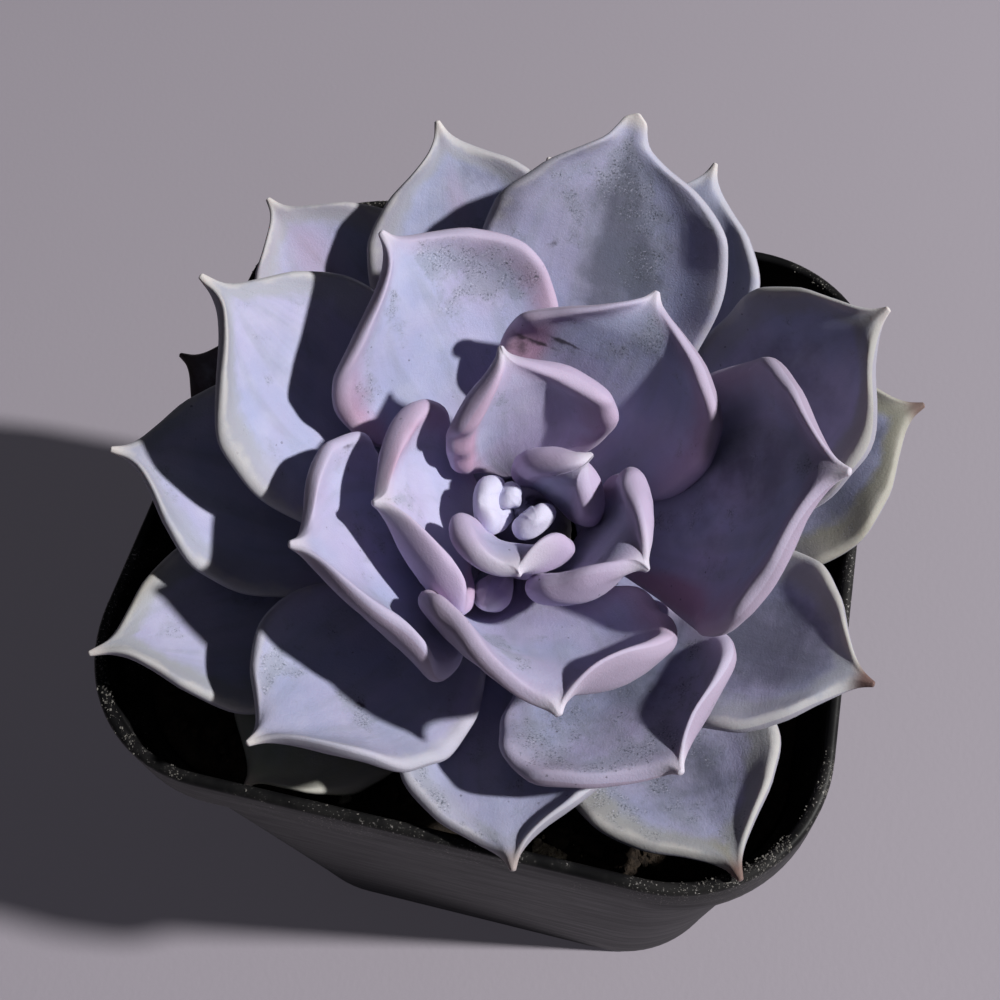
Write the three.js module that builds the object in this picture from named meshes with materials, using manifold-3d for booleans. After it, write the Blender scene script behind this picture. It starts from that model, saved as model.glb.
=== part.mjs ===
// Potted ghost echeveria: a rosette of fleshy spoon-shaped leaves on one short stem, in a square nursery pot.
// Millimetres and degrees. +Z is up, -Y is the front, and the origin is the middle of the pot's underside.
import * as THREE from 'three';
import { mergeVertices } from 'three/addons/utils/BufferGeometryUtils.js';
import Module from 'manifold-3d';

const wasm = await Module();
wasm.setup();

// Pot: a 9 cm square nursery pot
const POT_HEIGHT = 84;
const MOUTH_WIDTH = 89;
const MOUTH_CORNER = 18.6;
const FOOT_WIDTH = 76;
const FOOT_CORNER = 18;
const FOOT_ROUNDING = 1.2;
const WALL = 1.45;
const FLOOR = 2;
const LIP_HEIGHT = 8.5;
const LIP_STEP = 1.6;
const RIM_ROUNDING = 0.4;
const DRAIN_RADIUS = 4.5;
const DRAIN_REACH = 21;

// Soil and stem
const GAP = 0.3;
const SOIL_DROP = 12;
const SOIL_RELIEF = 0.9;
const STEM_RADIUS = 6;
const STEM_TIP_RADIUS = 1.3;
const STEM_TAPER = 0.36;
const STEM_REACH = 43;
const ROOT_ROUNDING = 3;
const DOME_HEIGHT = 1.2;
// Rings of the soil's surface, as shares of its width, the sides of a round thing and the steps of a corner
const SOIL_RINGS = [0.88, 0.76, 0.64, 0.52, 0.4, 0.28, 0.16, 0.06];
const ROUND_SIDES = 24;
const CORNER_STEPS = 6;

// Heart of the rosette, which the stem leans out to, and the way it leans
const HEART = new THREE.Vector3(5.8, -10, POT_HEIGHT + 15);
const STEM_LEAN = 18;
const LEAN_TURN = 18;

// Leaf thickness along its length, from base to point, how much thinner a leaf is at its edge, and the room
// its base needs beside the stem
const LEAF_THICKNESS = [[0, 2.3], [0.2, 2.7], [0.5, 3.1], [0.8, 3], [0.93, 1.9], [1, 0.8]];
const BASE_ROOM = 2.8;
const EDGE_THINNING = 0.06;
// Half width along a leaf as a share of its widest, from the narrow base to the drawn-out point, and the
// outline of a very young leaf, which has no point yet
const LEAF_OUTLINE = [
  [0, 0.25], [0.12, 0.36], [0.3, 0.62], [0.5, 0.93], [0.64, 1], [0.76, 0.93],
  [0.86, 0.64], [0.91, 0.34], [0.945, 0.15], [0.97, 0.07], [1, 0.025],
];
const BLUNT_OUTLINE = [[0, 0.4], [0.2, 0.62], [0.45, 0.88], [0.64, 1], [0.8, 0.93], [0.92, 0.66], [1, 0.2]];
const OUTLINE_WIDEST = 0.64;
// Where the cross-sections lie along a leaf, and the lanes that run its length from edge to edge
const STATIONS = [0, 0.12, 0.27, 0.41, 0.54, 0.65, 0.75, 0.84, 0.9, 0.94, 0.97, 1];
const LANES = [-1, -0.86, -0.5, 0, 0.5, 0.86, 1];
// The share of its full cup a leaf has at the base, where the cup is full, and how much of it the point loses
const CUP_AT_BASE = 0.25;
const CUP_FULL_AT = 0.55;
const POINT_OPENING = 0.55;
// How much of its slope a leaf loses again at its edge, and how far out that starts
const FLARE = 0.4;
const FLARE_START = 0.68;
const CUP_STEPS = 24;
// Where along a leaf its tip starts to bend, and where the drawn-out point starts
const TIP_START = 0.8;
const POINT_START = 0.9;
// The edge's gentle wave: its height as a share of the leaf's width, how many run along the leaf, how far the
// two edges differ, and where it starts and is full
const WAVE = 0.05;
const WAVES = 1.3;
const WAVE_OFFSET = 0.37;
const WAVE_START = 0.15;
const WAVE_FULL = 0.5;

// Words used for a leaf.
// turn: its bearing round the stem. node: how far below the heart it grows. seat: its distance from the stem.
// pitch: its slope above the plane square to the stem. curl: how much its slope changes either way from the
// middle. cup: how far its edges turn up. sweep: sideways curve. twist: turn about its own length.
// lopside: extra width of one half. fold: extra cup of one half. hook: sideways bend of the tip.
// nod: how far the tip rises, or sinks below zero. widest: where along the leaf it is widest.
// plump: thickness as a share of the usual. outline: its half widths.
const PLAIN_LEAF = {
  sweep: 0, twist: 0, lopside: 0, fold: 0, hook: 0, widest: 0.6, nod: -10, seat: GAP, plump: 1,
  outline: LEAF_OUTLINE,
};

// Leaves from the heart outwards, each about 137 degrees round the stem from one of its neighbours in age
const INNER_LEAVES = [
  {
    turn: 277, node: 4.5, length: 15, width: 15, pitch: 83.5, curl: -19, cup: 98, sweep: 10.5,
    twist: -6, lopside: -0.1, fold: 0.04, hook: 16, widest: 0.7, nod: -17, seat: 2.1,
  },
  {
    turn: 42.5, node: 6.4, length: 16.5, width: 12.5, pitch: 81, curl: -19, cup: 97, sweep: -13.5,
    twist: 44, fold: 0.25, hook: 14, widest: 0.52, nod: -30, plump: 1.15,
  },
  { turn: 262, node: 9.4, length: 13, width: 4.1, pitch: 65, curl: 4, cup: 60, outline: BLUNT_OUTLINE },
  {
    turn: 108, node: 8, length: 22, width: 21.5, pitch: 67, curl: -9, cup: 92, sweep: 3,
    twist: 19, lopside: -0.14, fold: 0.15, hook: 5, widest: 0.54, nod: -20, seat: 0.7,
  },
  {
    turn: 195, node: 7.6, length: 19.5, width: 26.6, pitch: 61, curl: 10, cup: 76, sweep: 9,
    twist: 10, lopside: 0.08, fold: 0.1, nod: -15, plump: 1.1,
  },
  {
    turn: 342, node: 9.3, length: 22.2, width: 20.7, pitch: 72.5, curl: -7, cup: 103, sweep: 6,
    twist: -11, hook: -24.5, widest: 0.63, nod: -30, plump: 1.1, seat: 1.5,
  },
];
const MIDDLE_LEAVES = [
  {
    turn: 68, node: 10.2, length: 28, width: 30, pitch: 41, curl: -1, cup: 65, sweep: 13, twist: -3,
    widest: 0.55, nod: -19,
  },
  {
    turn: 290, node: 11.85, length: 29.5, width: 30.6, pitch: 61, curl: 12, cup: 80, sweep: -4,
    twist: -19, fold: 0.1, hook: 15, widest: 0.62, nod: -26,
  },
  {
    turn: 205, node: 12.6, length: 28.5, width: 31, pitch: 54, curl: 10, cup: 54, twist: 22,
    lopside: 0.19, fold: -0.1, hook: -12, nod: -15,
  },
  {
    turn: 129, node: 12, length: 35, width: 31, pitch: 38, curl: 18, cup: 45, sweep: 12, twist: 19,
    lopside: 0.08, hook: 8, widest: 0.56,
  },
  {
    turn: 13, node: 12.6, length: 41, width: 31.5, pitch: 53, curl: 24, cup: 33, sweep: -4,
    twist: -8, lopside: -0.05, fold: -0.08, hook: -13, nod: -16,
  },
  {
    turn: 312, node: 14.5, length: 33.5, width: 29, pitch: 39, curl: 17, cup: 45, sweep: 5,
    twist: -5, lopside: -0.05, fold: 0.25, widest: 0.65, nod: -4,
  },
];
const OUTER_LEAVES = [
  {
    turn: 233, node: 15.1, length: 37.5, width: 27, pitch: 32, curl: 16, cup: 43, sweep: -4,
    twist: 21, lopside: 0.15,
  },
  {
    turn: 86, node: 15.5, length: 46.5, width: 31, pitch: 29, curl: 11, cup: 46, sweep: 5, twist: 6,
    hook: -15, nod: -4,
  },
  {
    turn: 155, node: 15.5, length: 44.5, width: 30, pitch: 32, curl: 14, cup: 39, sweep: -12,
    twist: 36, lopside: 0.1, hook: 12, widest: 0.55,
  },
  {
    turn: 41, node: 17, length: 47, width: 28, pitch: 35, curl: 22, cup: 45, sweep: 20,
    twist: -24, lopside: -0.05, fold: -0.22, hook: -18, widest: 0.65, seat: 0.8,
  },
  {
    turn: 345, node: 17.5, length: 41, width: 25, pitch: 30, curl: 18, cup: 45, sweep: 8,
    twist: -13, fold: -0.14, hook: -5,
  },
  {
    turn: 280, node: 17.5, length: 36.5, width: 26, pitch: 30, curl: 14, cup: 45, sweep: 6,
    twist: 6, hook: 4,
  },
  {
    turn: 182, node: 18.5, length: 46, width: 27.5, pitch: 22, curl: 14, cup: 43, sweep: -4,
    twist: 23, lopside: 0.06, hook: 8, nod: -5,
  },
  {
    turn: 114, node: 18.5, length: 47, width: 27, pitch: 23, curl: 11, cup: 37, sweep: 8,
    lopside: 0.06, fold: -0.19, nod: 0,
  },
  {
    turn: 74, node: 20.3, length: 47, width: 24, pitch: 20, curl: 13, cup: 35, sweep: 14, twist: -12,
    fold: -0.22, hook: -8, nod: -5, seat: 0.5,
  },
  {
    turn: 28, node: 22, length: 46.5, width: 27.5, pitch: 17, curl: 20, cup: 28, twist: -4,
    lopside: -0.1, fold: -0.08, seat: 0.5,
  },
  { turn: 312, node: 21, length: 44.5, width: 26, pitch: 29, curl: 19, cup: 42, sweep: -5, hook: -4 },
  {
    turn: 209, node: 21.5, length: 49.5, width: 25, pitch: 23, curl: 17, cup: 42, twist: 20,
    lopside: 0.14, hook: 5, widest: 0.58,
  },
  { turn: 140, node: 21.5, length: 49, width: 25.5, pitch: 19, curl: 16, cup: 40, sweep: 3, widest: 0.64 },
  { turn: 98, node: 24.1, length: 45.5, width: 24, pitch: 13, curl: 13, cup: 34, sweep: 8, widest: 0.64 },
  { turn: 164, node: 24, length: 46.5, width: 23.5, pitch: 8, curl: 15, cup: 35, widest: 0.64 },
  {
    turn: 234, node: 24, length: 40.5, width: 23.5, pitch: 16, curl: 10, cup: 42, sweep: 3,
    twist: 7, hook: 4, widest: 0.67, nod: -18,
  },
];
// Tiny leaves of the growing point, sunk into the stem's tip
const HEART_LEAVES = [
  {
    turn: 193, node: 1.8, length: 7.6, width: 6.6, pitch: 68, curl: 5, cup: 80, seat: -1.6, plump: 0.95,
    outline: BLUNT_OUTLINE,
  },
  {
    turn: 320, node: 1.5, length: 5.9, width: 5.2, pitch: 78, curl: 4, cup: 75, seat: -1.7,
    outline: BLUNT_OUTLINE,
  },
  {
    turn: 160, node: 0.3, length: 4.5, width: 3.2, pitch: 86, curl: 2, cup: 50, widest: 0.7, seat: -1.5,
    plump: 0.9, outline: BLUNT_OUTLINE,
  },
];

const radians = THREE.MathUtils.degToRad;

// Smooth curve through [place, value] points that never overshoots them
function profile(points, place) {
  const last = points.length - 1;
  const slope = (i) => (points[i + 1][1] - points[i][1]) / (points[i + 1][0] - points[i][0]);
  const tangent = (i) => {
    if (i === 0) return slope(0);
    if (i === last) return slope(last - 1);
    const before = slope(i - 1);
    const after = slope(i);
    return before * after <= 0 ? 0 : (2 * before * after) / (before + after);
  };
  let i = 0;
  while (i < last - 1 && place >= points[i + 1][0]) i += 1;
  const span = points[i + 1][0] - points[i][0];
  const u = (place - points[i][0]) / span;
  return points[i][1] * (1 + 2 * u) * (1 - u) ** 2
    + tangent(i) * span * u * (1 - u) ** 2
    + points[i + 1][1] * u * u * (3 - 2 * u)
    + tangent(i + 1) * span * u * u * (u - 1);
}

// Straight-line reading of [place, value] points
function reading(points, place) {
  let i = 0;
  while (i < points.length - 2 && place > points[i + 1][0]) i += 1;
  return THREE.MathUtils.mapLinear(place, points[i][0], points[i + 1][0], points[i][1], points[i + 1][1]);
}

// The stem's axis and the two directions square to it from which a leaf's bearing is measured
const stemAxis = new THREE.Vector3(
  Math.sin(radians(STEM_LEAN)) * Math.sin(radians(LEAN_TURN)),
  -Math.sin(radians(STEM_LEAN)) * Math.cos(radians(LEAN_TURN)),
  Math.cos(radians(STEM_LEAN)),
);
const bearingZero = new THREE.Vector3(1, 0, 0).addScaledVector(stemAxis, -stemAxis.x).normalize();
const bearingQuarter = new THREE.Vector3().crossVectors(stemAxis, bearingZero);

function stemRadius(belowHeart) {
  return Math.min(STEM_RADIUS, STEM_TIP_RADIUS + STEM_TAPER * belowHeart);
}

// A closed solid's geometry from flat lists of corners and triangles, turned to face out
function closedGeometry(corners, triangles) {
  const geometry = new THREE.BufferGeometry();
  const places = corners.flatMap((p) => [p.x, p.y, p.z]);
  geometry.setAttribute('position', new THREE.Float32BufferAttribute(places, 3));
  let volume = 0;
  for (const [a, b, c] of triangles) {
    volume += corners[a].dot(new THREE.Vector3().crossVectors(corners[b], corners[c]));
  }
  const facing = volume > 0 ? triangles : triangles.map(([a, b, c]) => [a, c, b]);
  geometry.setIndex(facing.flat());
  return geometry;
}

// Closed skin over rings of equal count, with a flat fan over the first and the last
function loft(rings) {
  const count = rings[0].length;
  const corners = rings.flat();
  const triangles = [];
  for (let r = 0; r < rings.length - 1; r += 1) {
    for (let k = 0; k < count; k += 1) {
      const next = (k + 1) % count;
      const low = r * count;
      const high = low + count;
      triangles.push([low + k, low + next, high + next], [low + k, high + next, high + k]);
    }
  }
  for (const [ring, first] of [[rings[0], 0], [rings.at(-1), (rings.length - 1) * count]]) {
    const middle = corners.length;
    corners.push(ring.reduce((sum, p) => sum.add(p), new THREE.Vector3()).divideScalar(count));
    for (let k = 0; k < count; k += 1) {
      const next = (k + 1) % count;
      triangles.push(first === 0 ? [middle, first + next, first + k] : [middle, first + k, first + next]);
    }
  }
  return closedGeometry(corners, triangles);
}

function toSolid(geometry) {
  const bare = geometry.clone();
  bare.deleteAttribute('normal');
  bare.deleteAttribute('uv');
  const merged = mergeVertices(bare, 1e-4);
  return new wasm.Manifold(new wasm.Mesh({
    numProp: 3,
    vertProperties: new Float32Array(merged.attributes.position.array),
    triVerts: new Uint32Array(merged.index.array),
  }));
}

function toGeometry(solid) {
  const { vertProperties, triVerts } = solid.getMesh();
  const geometry = new THREE.BufferGeometry();
  geometry.setAttribute('position', new THREE.Float32BufferAttribute(vertProperties, 3));
  geometry.setIndex(Array.from(triVerts));
  return geometry;
}

// A leaf's midrib: its points, directions and sideways axes at each station
function midrib(leaf) {
  const steps = 200;
  const bearing = radians(leaf.turn);
  const outward = bearingZero.clone().multiplyScalar(Math.cos(bearing));
  outward.addScaledVector(bearingQuarter, Math.sin(bearing));
  const around = bearingZero.clone().multiplyScalar(-Math.sin(bearing));
  around.addScaledVector(bearingQuarter, Math.cos(bearing));
  const slopeAt = (s) => {
    const bow = leaf.curl * (2 * s - 1);
    const tip = 2 * leaf.nod * THREE.MathUtils.smoothstep(s, TIP_START, 1);
    return radians(leaf.pitch + bow + tip);
  };
  const yawAt = (s) => {
    const tip = leaf.hook * THREE.MathUtils.smoothstep(s, TIP_START, 1);
    return radians(leaf.sweep * (2 * s - 1) + tip);
  };
  const directionAt = (s) => {
    const level = Math.cos(slopeAt(s));
    const direction = stemAxis.clone().multiplyScalar(Math.sin(slopeAt(s)));
    direction.addScaledVector(outward, level * Math.cos(yawAt(s)));
    return direction.addScaledVector(around, level * Math.sin(yawAt(s)));
  };
  const halfBase = BASE_ROOM / 2 * Math.abs(Math.sin(slopeAt(0)));
  const reach = stemRadius(leaf.node) + leaf.seat + halfBase;
  const point = HEART.clone().addScaledVector(stemAxis, -leaf.node).addScaledVector(outward, reach);
  const walk = [point.clone()];
  for (let k = 0; k < steps; k += 1) {
    point.addScaledVector(directionAt((k + 0.5) / steps), leaf.length / steps);
    walk.push(point.clone());
  }
  return STATIONS.map((s) => {
    const place = Math.min(Math.floor(s * steps), steps - 1);
    const centre = walk[place].clone().lerp(walk[place + 1], s * steps - place);
    const along = directionAt(s);
    const flatAcross = outward.clone().multiplyScalar(-Math.sin(yawAt(s)));
    flatAcross.addScaledVector(around, Math.cos(yawAt(s)));
    const flatUp = new THREE.Vector3().crossVectors(along, flatAcross);
    const roll = radians(leaf.twist * s);
    const across = flatAcross.clone().multiplyScalar(Math.cos(roll)).addScaledVector(flatUp, Math.sin(roll));
    const up = flatUp.multiplyScalar(Math.cos(roll)).addScaledVector(flatAcross, -Math.sin(roll));
    return { s, centre, across, up };
  });
}

// How far out and up a lane lies, as shares of the half width, and its slope, in a cup that flares out again
// at its edge
function acrossCup(bend, out) {
  const slopeAt = (way) => bend * way ** 2 * (1 - FLARE * THREE.MathUtils.smoothstep(way, FLARE_START, 1));
  const step = out / CUP_STEPS;
  let level = 0;
  let rise = 0;
  for (let k = 0; k < CUP_STEPS; k += 1) {
    level += Math.cos(slopeAt((k + 0.5) * step)) * step;
    rise += Math.sin(slopeAt((k + 0.5) * step)) * step;
  }
  return { level, rise, slope: slopeAt(out) };
}

// The pair of points on a leaf's upper and lower face, on one lane of one station
function leafPair(leaf, { s, centre, across, up }, lane) {
  const side = lane < 0 ? -1 : 1;
  const out = Math.abs(lane);
  const opening = THREE.MathUtils.lerp(CUP_AT_BASE, 1, THREE.MathUtils.smoothstep(s, 0, CUP_FULL_AT));
  const inPoint = THREE.MathUtils.smoothstep(s, POINT_START, 1);
  const closing = 1 - POINT_OPENING * inPoint;
  const bend = radians(leaf.cup) * opening * closing * (1 + leaf.fold * side);
  const outlinePlace = s ** (Math.log(OUTLINE_WIDEST) / Math.log(leaf.widest));
  const half = leaf.width / 2 * profile(leaf.outline, outlinePlace) * (1 + leaf.lopside * side);
  const { level, rise, slope } = acrossCup(bend, out);
  const waveTurn = 2 * Math.PI * (WAVES * s + (side > 0 ? 0 : WAVE_OFFSET));
  const waveShare = THREE.MathUtils.smoothstep(s, WAVE_START, WAVE_FULL) * (1 - inPoint);
  const ripple = WAVE * leaf.width * out ** 3 * Math.sin(waveTurn) * waveShare;
  const roundness = Math.sqrt(Math.max(0, 1 - out ** 6)) * (1 - EDGE_THINNING * out);
  const flesh = leaf.plump * reading(LEAF_THICKNESS, s) / 2 * roundness;
  const tilt = slope * side;
  const middle = centre.clone().addScaledVector(across, half * side * level);
  middle.addScaledVector(up, half * rise + ripple);
  const outOfFace = up.clone().multiplyScalar(Math.cos(tilt)).addScaledVector(across, -Math.sin(tilt));
  return [
    middle.clone().addScaledVector(outOfFace, flesh),
    middle.addScaledVector(outOfFace, -flesh),
  ];
}

// One closed leaf: upper and lower faces split into the same triangles, meeting in the edge lanes
function leafGeometry(spec) {
  const leaf = { ...PLAIN_LEAF, ...spec };
  const corners = [];
  const upper = [];
  const lower = [];
  const stations = midrib(leaf);
  for (const lane of LANES) {
    const isEdge = Math.abs(lane) === 1;
    const upperLane = [];
    const lowerLane = [];
    for (const station of stations) {
      const [top, bottom] = leafPair(leaf, station, lane);
      upperLane.push(corners.push(top) - 1);
      lowerLane.push(isEdge ? upperLane.at(-1) : corners.push(bottom) - 1);
    }
    upper.push(upperLane);
    lower.push(lowerLane);
  }
  const triangles = [];
  const end = stations.length - 1;
  for (let i = 0; i < LANES.length - 1; i += 1) {
    for (let j = 0; j < end; j += 1) {
      triangles.push([upper[i][j], upper[i][j + 1], upper[i + 1][j + 1]]);
      triangles.push([upper[i][j], upper[i + 1][j + 1], upper[i + 1][j]]);
      triangles.push([lower[i][j], lower[i + 1][j + 1], lower[i][j + 1]]);
      triangles.push([lower[i][j], lower[i + 1][j], lower[i + 1][j + 1]]);
    }
    triangles.push([upper[i][0], upper[i + 1][0], lower[i + 1][0]]);
    triangles.push([upper[i][0], lower[i + 1][0], lower[i][0]]);
    triangles.push([upper[i][end], lower[i + 1][end], upper[i + 1][end]]);
    triangles.push([upper[i][end], lower[i][end], lower[i + 1][end]]);
  }
  const whole = triangles.filter(([a, b, c]) => a !== b && b !== c && c !== a);
  return closedGeometry(corners, whole);
}

// Square outline with rounded corners at one height
function roundedSquare(width, corner, height) {
  const points = [];
  const inset = width / 2 - corner;
  for (let quarter = 0; quarter < 4; quarter += 1) {
    const middleTurn = Math.PI / 4 + quarter * Math.PI / 2;
    const cx = Math.sign(Math.cos(middleTurn)) * inset;
    const cy = Math.sign(Math.sin(middleTurn)) * inset;
    for (let k = 0; k <= CORNER_STEPS; k += 1) {
      const turn = (quarter + k / CORNER_STEPS) * Math.PI / 2;
      points.push(new THREE.Vector3(cx + corner * Math.cos(turn), cy + corner * Math.sin(turn), height));
    }
  }
  return points;
}

const BODY_TOP = POT_HEIGHT - LIP_HEIGHT;
const BODY_TOP_WIDTH = MOUTH_WIDTH - 2 * LIP_STEP;

function bodyWidth(height) {
  return THREE.MathUtils.lerp(FOOT_WIDTH, BODY_TOP_WIDTH, height / BODY_TOP);
}

function bodyCorner(height) {
  return THREE.MathUtils.lerp(FOOT_CORNER, MOUTH_CORNER - LIP_STEP, height / BODY_TOP);
}

function potGeometry() {
  const innerMouth = MOUTH_WIDTH - 2 * WALL;
  const innerStep = BODY_TOP - WALL;
  const shell = toSolid(loft([
    roundedSquare(FOOT_WIDTH - 2 * FOOT_ROUNDING, FOOT_CORNER - FOOT_ROUNDING, 0),
    roundedSquare(bodyWidth(FOOT_ROUNDING), FOOT_CORNER, FOOT_ROUNDING),
    roundedSquare(BODY_TOP_WIDTH, bodyCorner(BODY_TOP), BODY_TOP),
    roundedSquare(MOUTH_WIDTH - RIM_ROUNDING, MOUTH_CORNER, BODY_TOP + RIM_ROUNDING),
    roundedSquare(MOUTH_WIDTH, MOUTH_CORNER, POT_HEIGHT - RIM_ROUNDING),
    roundedSquare(MOUTH_WIDTH - 2 * RIM_ROUNDING, MOUTH_CORNER - RIM_ROUNDING, POT_HEIGHT),
    roundedSquare(innerMouth + 2 * RIM_ROUNDING, MOUTH_CORNER - WALL + RIM_ROUNDING, POT_HEIGHT),
    roundedSquare(innerMouth, MOUTH_CORNER - WALL, POT_HEIGHT - RIM_ROUNDING),
    roundedSquare(innerMouth, MOUTH_CORNER - WALL, BODY_TOP),
    roundedSquare(bodyWidth(innerStep) - 2 * WALL, bodyCorner(innerStep) - WALL, innerStep),
    roundedSquare(bodyWidth(FLOOR) - 2 * WALL, bodyCorner(FLOOR) - WALL, FLOOR),
  ]));
  let pot = shell;
  for (const [x, y] of [[1, 1], [-1, 1], [-1, -1], [1, -1]]) {
    const drain = new THREE.CylinderGeometry(DRAIN_RADIUS, DRAIN_RADIUS, 3 * FLOOR, ROUND_SIDES);
    drain.rotateX(Math.PI / 2).translate(x * DRAIN_REACH, y * DRAIN_REACH, FLOOR / 2);
    pot = pot.subtract(toSolid(drain));
  }
  return toGeometry(pot);
}

// The stem, a blunt root end below and the growing point above, standing on its own Z with the heart at 0
function stemProfile(grow) {
  const taperEnd = (STEM_RADIUS - STEM_TIP_RADIUS) / STEM_TAPER;
  return [
    [0, -STEM_REACH - grow],
    [STEM_RADIUS - ROOT_ROUNDING + grow, -STEM_REACH - grow],
    [STEM_RADIUS + grow, -STEM_REACH + ROOT_ROUNDING],
    [STEM_RADIUS + grow, -taperEnd],
    [STEM_TIP_RADIUS + grow, 0],
    [STEM_TIP_RADIUS / 2 + grow, DOME_HEIGHT * 0.75],
    [0, DOME_HEIGHT + grow],
  ].map(([radius, height]) => new THREE.Vector2(radius, height));
}

function onStem(geometry) {
  const lean = new THREE.Quaternion().setFromUnitVectors(new THREE.Vector3(0, 0, 1), stemAxis);
  return geometry.rotateX(Math.PI / 2).applyQuaternion(lean).translate(HEART.x, HEART.y, HEART.z);
}

function stemGeometry() {
  let stem = toSolid(onStem(new THREE.LatheGeometry(stemProfile(0), ROUND_SIDES)));
  for (const leaf of HEART_LEAVES) stem = stem.add(toSolid(leafGeometry(leaf)));
  return toGeometry(stem);
}

// Lumps of the soil's surface, fading out at the wall
function soilRelief(x, y, share) {
  const lumps = Math.sin(0.52 * x + 1.7 * Math.sin(0.23 * y)) * Math.cos(0.47 * y - 1.3 * Math.sin(0.31 * x));
  const crumbs = 0.5 * Math.sin(1.37 * x + 0.6 * y) * Math.sin(1.21 * y - 0.4 * x);
  return SOIL_RELIEF * (lumps + crumbs) * (1 - share ** 8);
}

function soilGeometry() {
  const top = POT_HEIGHT - SOIL_DROP;
  const bottom = FLOOR + GAP;
  const inside = (height) => bodyWidth(height) - 2 * (WALL + GAP);
  const corner = (height) => bodyCorner(height) - WALL - GAP;
  const rings = [
    roundedSquare(inside(bottom), corner(bottom), bottom),
    roundedSquare(inside(top), corner(top), top),
  ];
  for (const share of SOIL_RINGS) {
    const ring = roundedSquare(inside(top), corner(top), top);
    rings.push(ring.map((p) => {
      const x = p.x * share;
      const y = p.y * share;
      return new THREE.Vector3(x, y, top + soilRelief(x, y, share));
    }));
  }
  const hole = toSolid(onStem(new THREE.LatheGeometry(stemProfile(GAP), ROUND_SIDES)));
  return toGeometry(toSolid(loft(rings)).subtract(hole));
}

const LILAC = 0xaeb0cc;
const ROSE_LILAC = 0xbdb2cf;
const PALE_LILAC = 0xd0cedf;
const GREY_GREEN = 0x8e9a8c;
const DRY_BROWN = 0x4a3a3c;
const POT_BLACK = 0x1c1c20;
const SOIL_BLACK = 0x14110f;
// Colours of the oldest outer leaves, by number
const AGED = { 15: DRY_BROWN, 16: GREY_GREEN };
const BLOOM_ROUGHNESS = 0.65;

function matte(color, roughness) {
  return new THREE.MeshStandardMaterial({ color, roughness, metalness: 0 });
}

const plant = new THREE.Group();

function addPiece(name, geometry, material) {
  const mesh = new THREE.Mesh(geometry, material);
  mesh.name = name;
  plant.add(mesh);
}

addPiece('pot', potGeometry(), matte(POT_BLACK, 0.5));
addPiece('soil', soilGeometry(), matte(SOIL_BLACK, 0.95));
addPiece('stem_and_heart', stemGeometry(), matte(PALE_LILAC, BLOOM_ROUGHNESS));
INNER_LEAVES.forEach((leaf, k) => {
  addPiece(`inner_leaf_${k + 1}`, leafGeometry(leaf), matte(ROSE_LILAC, BLOOM_ROUGHNESS));
});
MIDDLE_LEAVES.forEach((leaf, k) => {
  addPiece(`middle_leaf_${k + 1}`, leafGeometry(leaf), matte(ROSE_LILAC, BLOOM_ROUGHNESS));
});
OUTER_LEAVES.forEach((leaf, k) => {
  const number = k + 1;
  addPiece(`outer_leaf_${number}`, leafGeometry(leaf), matte(AGED[number] ?? LILAC, BLOOM_ROUGHNESS));
});

export default plant;
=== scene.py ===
import math
import random

import bmesh
import bpy
import numpy as np
from mathutils import Matrix, Vector, noise
from mathutils.bvhtree import BVHTree


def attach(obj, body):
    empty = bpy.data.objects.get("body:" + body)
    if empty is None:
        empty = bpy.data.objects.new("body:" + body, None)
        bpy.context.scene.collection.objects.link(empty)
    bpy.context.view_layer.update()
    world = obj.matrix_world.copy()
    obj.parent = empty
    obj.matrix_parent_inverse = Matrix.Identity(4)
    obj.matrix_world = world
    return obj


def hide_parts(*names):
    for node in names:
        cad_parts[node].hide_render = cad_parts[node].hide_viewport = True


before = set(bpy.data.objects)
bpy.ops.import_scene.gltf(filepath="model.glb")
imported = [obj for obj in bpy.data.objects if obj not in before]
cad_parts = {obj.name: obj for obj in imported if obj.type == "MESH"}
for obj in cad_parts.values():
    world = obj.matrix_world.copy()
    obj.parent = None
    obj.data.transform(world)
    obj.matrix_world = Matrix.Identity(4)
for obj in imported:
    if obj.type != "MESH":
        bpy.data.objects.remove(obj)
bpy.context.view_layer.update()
MM = 0.001

# The photograph is 1000 pixels square. The camera's place is in the part's frame.
CAMERA_PLACE = Vector((27.71, -72.83, 224.83)) * MM
CAMERA_AZIMUTH = 19.97
CAMERA_ELEVATION = 57.12
CAMERA_ROLL = -7.43
PHOTO_SIZE = 1000
FOCAL_PIXELS = 1254
PRINCIPAL_ROW = 400
SENSOR_WIDTH = 36

# Pot, in millimetres
POT_HEIGHT = 84
MOUTH_WIDTH = 89
MOUTH_CORNER = 18.6
FOOT_WIDTH = 76
FOOT_CORNER = 18
FOOT_ROUNDING = 1.2
WALL = 1.45
FLOOR = 2
LIP_HEIGHT = 8.5
LIP_STEP = 1.6
RIM_ROUNDING = 0.7
STEP_ROUNDING = 0.5
STEP_LEAD = 0.3
LIP_RINGS = (2, 5)
FOOT_FLARE = 0.3
LIP_STEPS = 6
LIP_EASE = 0.02
DRAIN_RADIUS = 4.5
DRAIN_REACH = 21
WALL_RINGS = (10, 25, 40, 55, 70)
INNER_RINGS = (50, 25, FLOOR)
QUARTERS = ((1, 1), (-1, 1), (-1, -1), (1, -1))
BODY_TOP = POT_HEIGHT - LIP_HEIGHT
BODY_TOP_WIDTH = MOUTH_WIDTH - 2 * LIP_STEP

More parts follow.
